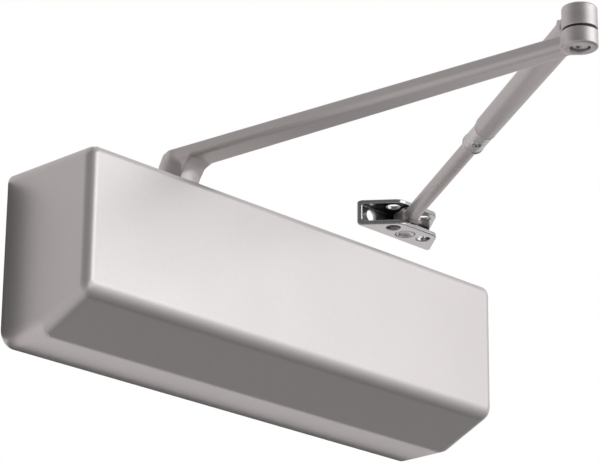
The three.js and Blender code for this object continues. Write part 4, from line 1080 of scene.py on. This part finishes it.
def clip(side, node):
    """A spring strip on the casting's end, with a tongue bent out to press on the cover's end wall."""
    tip = (RIGHT if side > 0 else -LEFT) - WALL - 0.4
    near, far = LUG_END + 0.3, LUG_END + 1.5
    strip = [(near, -1), (far, -1), (far, -8), (near, -8)]
    tongue = [
        (near, -7), (near, -8), (tip - 2, -15), (tip - 1.2, -15.8), (tip - 0.9, -17), (tip - 6, -27),
        (tip - 5, -27.5), (tip, -17), (tip - 0.3, -15.6), (tip - 1.2, -14.4), (far, -7),
    ]
    obj = extruded(f"{node}_spring", [(side * x, y) for x, y in strip], "z", -38, 38)
    boolean(obj, extruded("tool", [(side * x, y) for x, y in tongue], "z", -12, 12), "UNION")
    ends = sorted((side * 138, side * 142))
    drilled(obj, *((CLIP_HOLE, "x", (0, CLIP_SCREW_Y, z), *ends) for z in (-CLIP_SCREW_Z, CLIP_SCREW_Z)))
    stands(coated(softened(obj, 0.18, 2, 40), "spring_steel"), "closer_body", node)


def clip_screw(side, level, node):
    """A slotted pan-head screw through a clip, above the bore's axis for level 1 and below it for -1."""
    profile = [
        (0, 130), (1.9, 130, 0.5), (1.9, 140.8), (3.2, 140.8, 0.2), (3.2, 141.6, 0.5), (2.2, 142.6, 0.6),
        (0, 142.6),
    ]
    z = level * CLIP_SCREW_Z
    obj = lathed(f"{node}_head", mirrored(profile, side), "x", (0, CLIP_SCREW_Y, z), segments=40)
    slot = across(CLIP_SCREW_Y, z, 0.4, 4)
    boolean(obj, extruded("tool", slot, "x", *sorted((side * 141.8, side * 144))))
    stands(coated(sharpened(obj, 35), "steel"), "closer_body", node)


casting()
end_cap("cap_left", "cylinder_end_cap", -1, 0)
end_cap("cap_right", "spring_end_cap", 1, ADJUSTER_HOLE)
pinion_caps()
spring()
adjuster()
for valve_x, valve_node in zip(VALVE_XS, ("sweep_valve", "latch_valve", "backcheck_valve")):
    valve(valve_x, valve_node)
for end, end_name in ((-1, "left"), (1, "right")):
    clip(end, f"cover_clip_{end_name}")
    clip_screw(end, -1, f"clip_screw_{end_name}_lower")
    clip_screw(end, 1, f"clip_screw_{end_name}_upper")

# ---------------------------------------------------------------- studio

SKY = [(-1, 0.55), (-0.36, 1.0), (0.2, 0.76), (1, 0.76)]  # height of a direction, brightness
SKY_TINT = (1.045, 0.98, 0.985)
DIMS = (  # direction in which the room is darker, cosines where that starts and is full, what is left there
    ((-0.80, -0.57, 0.2), (0.12, 0.78), 0.30),
    ((0.62, -0.15, -0.77), (0.60, 0.96), 0.0),
)
KEY_PLACE, KEY_AIM, KEY_SIZE = (1.1, -3.2, 0.8), (0, -0.1, 0), (3.0, 2.2)
KEY_POWER, KEY_COLOUR = 41, (0.97, 1, 1)
FLOOR_HALF, FLOOR_LEVEL = 12000, -1400
CARD = 17  # how far the card reaches past the cover's ends
CARD_DROP = 5  # how much lower it lies than the cover

CAMERA_PLACE, CAMERA_LENS, SENSOR = (-0.990, -1.028, -0.459), 158.2, 36
CAMERA_YAW, CAMERA_PITCH, CAMERA_ROLL = math.radians(45.75), math.radians(19.94), math.radians(0.60)


def room():
    """A soft sky whose brightness follows the height, with two darker sides. The camera sees white."""
    world = bpy.data.worlds.new("studio")
    bpy.context.scene.world = world
    world.use_nodes = True
    sky = Tree(world.node_tree)
    direction = sky.add("ShaderNodeTexCoord").outputs["Generated"]
    split = sky.add("ShaderNodeSeparateXYZ")
    sky.link(direction, split.inputs[0])
    ramp = sky.add("ShaderNodeValToRGB")
    sky.link(sky.ranged(split.outputs["Z"], 0, 1, -1, 1), ramp.inputs["Fac"])
    while len(ramp.color_ramp.elements) < len(SKY):
        ramp.color_ramp.elements.new(0.5)
    for element, (height, level) in zip(ramp.color_ramp.elements, SKY):
        element.position = (height + 1) / 2
        element.color = (*(level * c for c in SKY_TINT), 1)
    strength = 1.0
    for side, (start, full), level in DIMS:
        lean = sky.add("ShaderNodeVectorMath", operation="DOT_PRODUCT")
        lean.inputs[1].default_value = side
        sky.link(direction, lean.inputs[0])
        strength = sky.maths("MULTIPLY", strength, sky.ranged(lean.outputs["Value"], 1, level, start, full))
    soft = sky.tree.nodes["Background"]
    sky.link(ramp.outputs["Color"], soft.inputs["Color"])
    sky.link(strength, soft.inputs["Strength"])
    white = sky.add("ShaderNodeBackground")
    white.inputs["Color"].default_value = (1, 1, 1, 1)
    mix = sky.add("ShaderNodeMixShader")
    sky.link(sky.add("ShaderNodeLightPath").outputs["Is Camera Ray"], mix.inputs[0])
    sky.link(soft.outputs[0], mix.inputs[1])
    sky.link(white.outputs[0], mix.inputs[2])
    sky.link(mix.outputs[0], sky.tree.nodes["World Output"].inputs["Surface"])


def plain(name, dark, light, rough, scales):
    """A dull material with slow noise in its colour and in its roughness."""
    n = Nodes(name)
    colour = n.mixed(n.noise(scales[0], 2), dark, light)
    return n.done(colour, n.ranged(n.noise(scales[1]), *rough), 0.0)


def pale_floor():
    """A plain floor far below, which reflections don't see."""
    corners = [(u * FLOOR_HALF, v * FLOOR_HALF) for u, v in ((-1, -1), (1, -1), (1, 1), (-1, 1))]
    floor = made("floor", [(x, y, FLOOR_LEVEL) for x, y in corners], [(0, 1, 2, 3)])
    tone = plain("pale_floor", (0.90, 0.95, 0.945), (0.93, 0.98, 0.975), (0.7, 0.8), (2, 6))
    floor.data.materials.append(tone)
    floor.visible_glossy = False
    return floor


def painted_shade_card():
    """Dark grey strips in the door's plane beside and under the closer, which the camera doesn't see and
    which cast no shadow: painted shade, which the cover's ends and underside reflect near their back edges,
    for the shadow where the closer meets the door.
    """
    low, high = BOTTOM - CARD_DROP, TOP - CARD_DROP
    strips = ((LEFT - CARD, LEFT, low, high), (RIGHT, RIGHT + CARD, low, high), (LEFT, RIGHT, low, BOTTOM))
    points = [(x, 0, z) for x0, x1, z0, z1 in strips for x, z in ((x0, z0), (x1, z0), (x1, z1), (x0, z1))]
    card = made("painted_shade_card", points, [range(4 * k, 4 * k + 4) for k in range(len(strips))])
    # Painted shade: a dark grey that the cover's ends and underside reflect near the door.
    tone = plain("painted_shade_grey", (0.20, 0.20, 0.20), (0.22, 0.22, 0.22), (0.8, 0.9), (6, 9))
    card.data.materials.append(tone)
    card.visible_camera = False
    card.visible_shadow = False


def key_light(floor):
    """One large soft light, in front and to the right. It spares the floor, whose tone stays even."""
    data = bpy.data.lights.new("key", "AREA")
    data.shape, data.size, data.size_y = "RECTANGLE", *KEY_SIZE
    data.energy, data.color = KEY_POWER, KEY_COLOUR
    key = bpy.data.objects.new("key", data)
    key.location = KEY_PLACE
    key.rotation_mode = "QUATERNION"
    key.rotation_quaternion = (Vector(KEY_AIM) - Vector(KEY_PLACE)).to_track_quat("-Z", "Y")
    bpy.context.scene.collection.objects.link(key)
    spared = bpy.data.collections.new("not_lit_by_key")
    spared.objects.link(floor)
    spared.collection_objects[0].light_linking.link_state = "EXCLUDE"
    key.light_linking.receiver_collection = spared


def camera():
    """The camera, from its place and its yaw from +Y, pitch and roll."""
    level_right = Vector((math.cos(CAMERA_YAW), -math.sin(CAMERA_YAW), 0))
    level_ahead = Vector((math.sin(CAMERA_YAW), math.cos(CAMERA_YAW), 0))
    ahead = math.cos(CAMERA_PITCH) * level_ahead + Vector((0, 0, math.sin(CAMERA_PITCH)))
    up = level_right.cross(ahead)
    right = math.cos(CAMERA_ROLL) * level_right + math.sin(CAMERA_ROLL) * up
    top = -math.sin(CAMERA_ROLL) * level_right + math.cos(CAMERA_ROLL) * up
    data = bpy.data.cameras.new("camera")
    data.sensor_width, data.lens = SENSOR, CAMERA_LENS
    data.clip_start, data.clip_end = 0.05, 50
    obj = bpy.data.objects.new("camera", data)
    obj.matrix_world = Matrix.Translation(CAMERA_PLACE) @ Matrix((right, top, -ahead)).transposed().to_4x4()
    bpy.context.scene.collection.objects.link(obj)
    bpy.context.scene.camera = obj


bpy.context.scene.view_settings.view_transform = "Standard"
room()
key_light(pale_floor())
painted_shade_card()
camera()
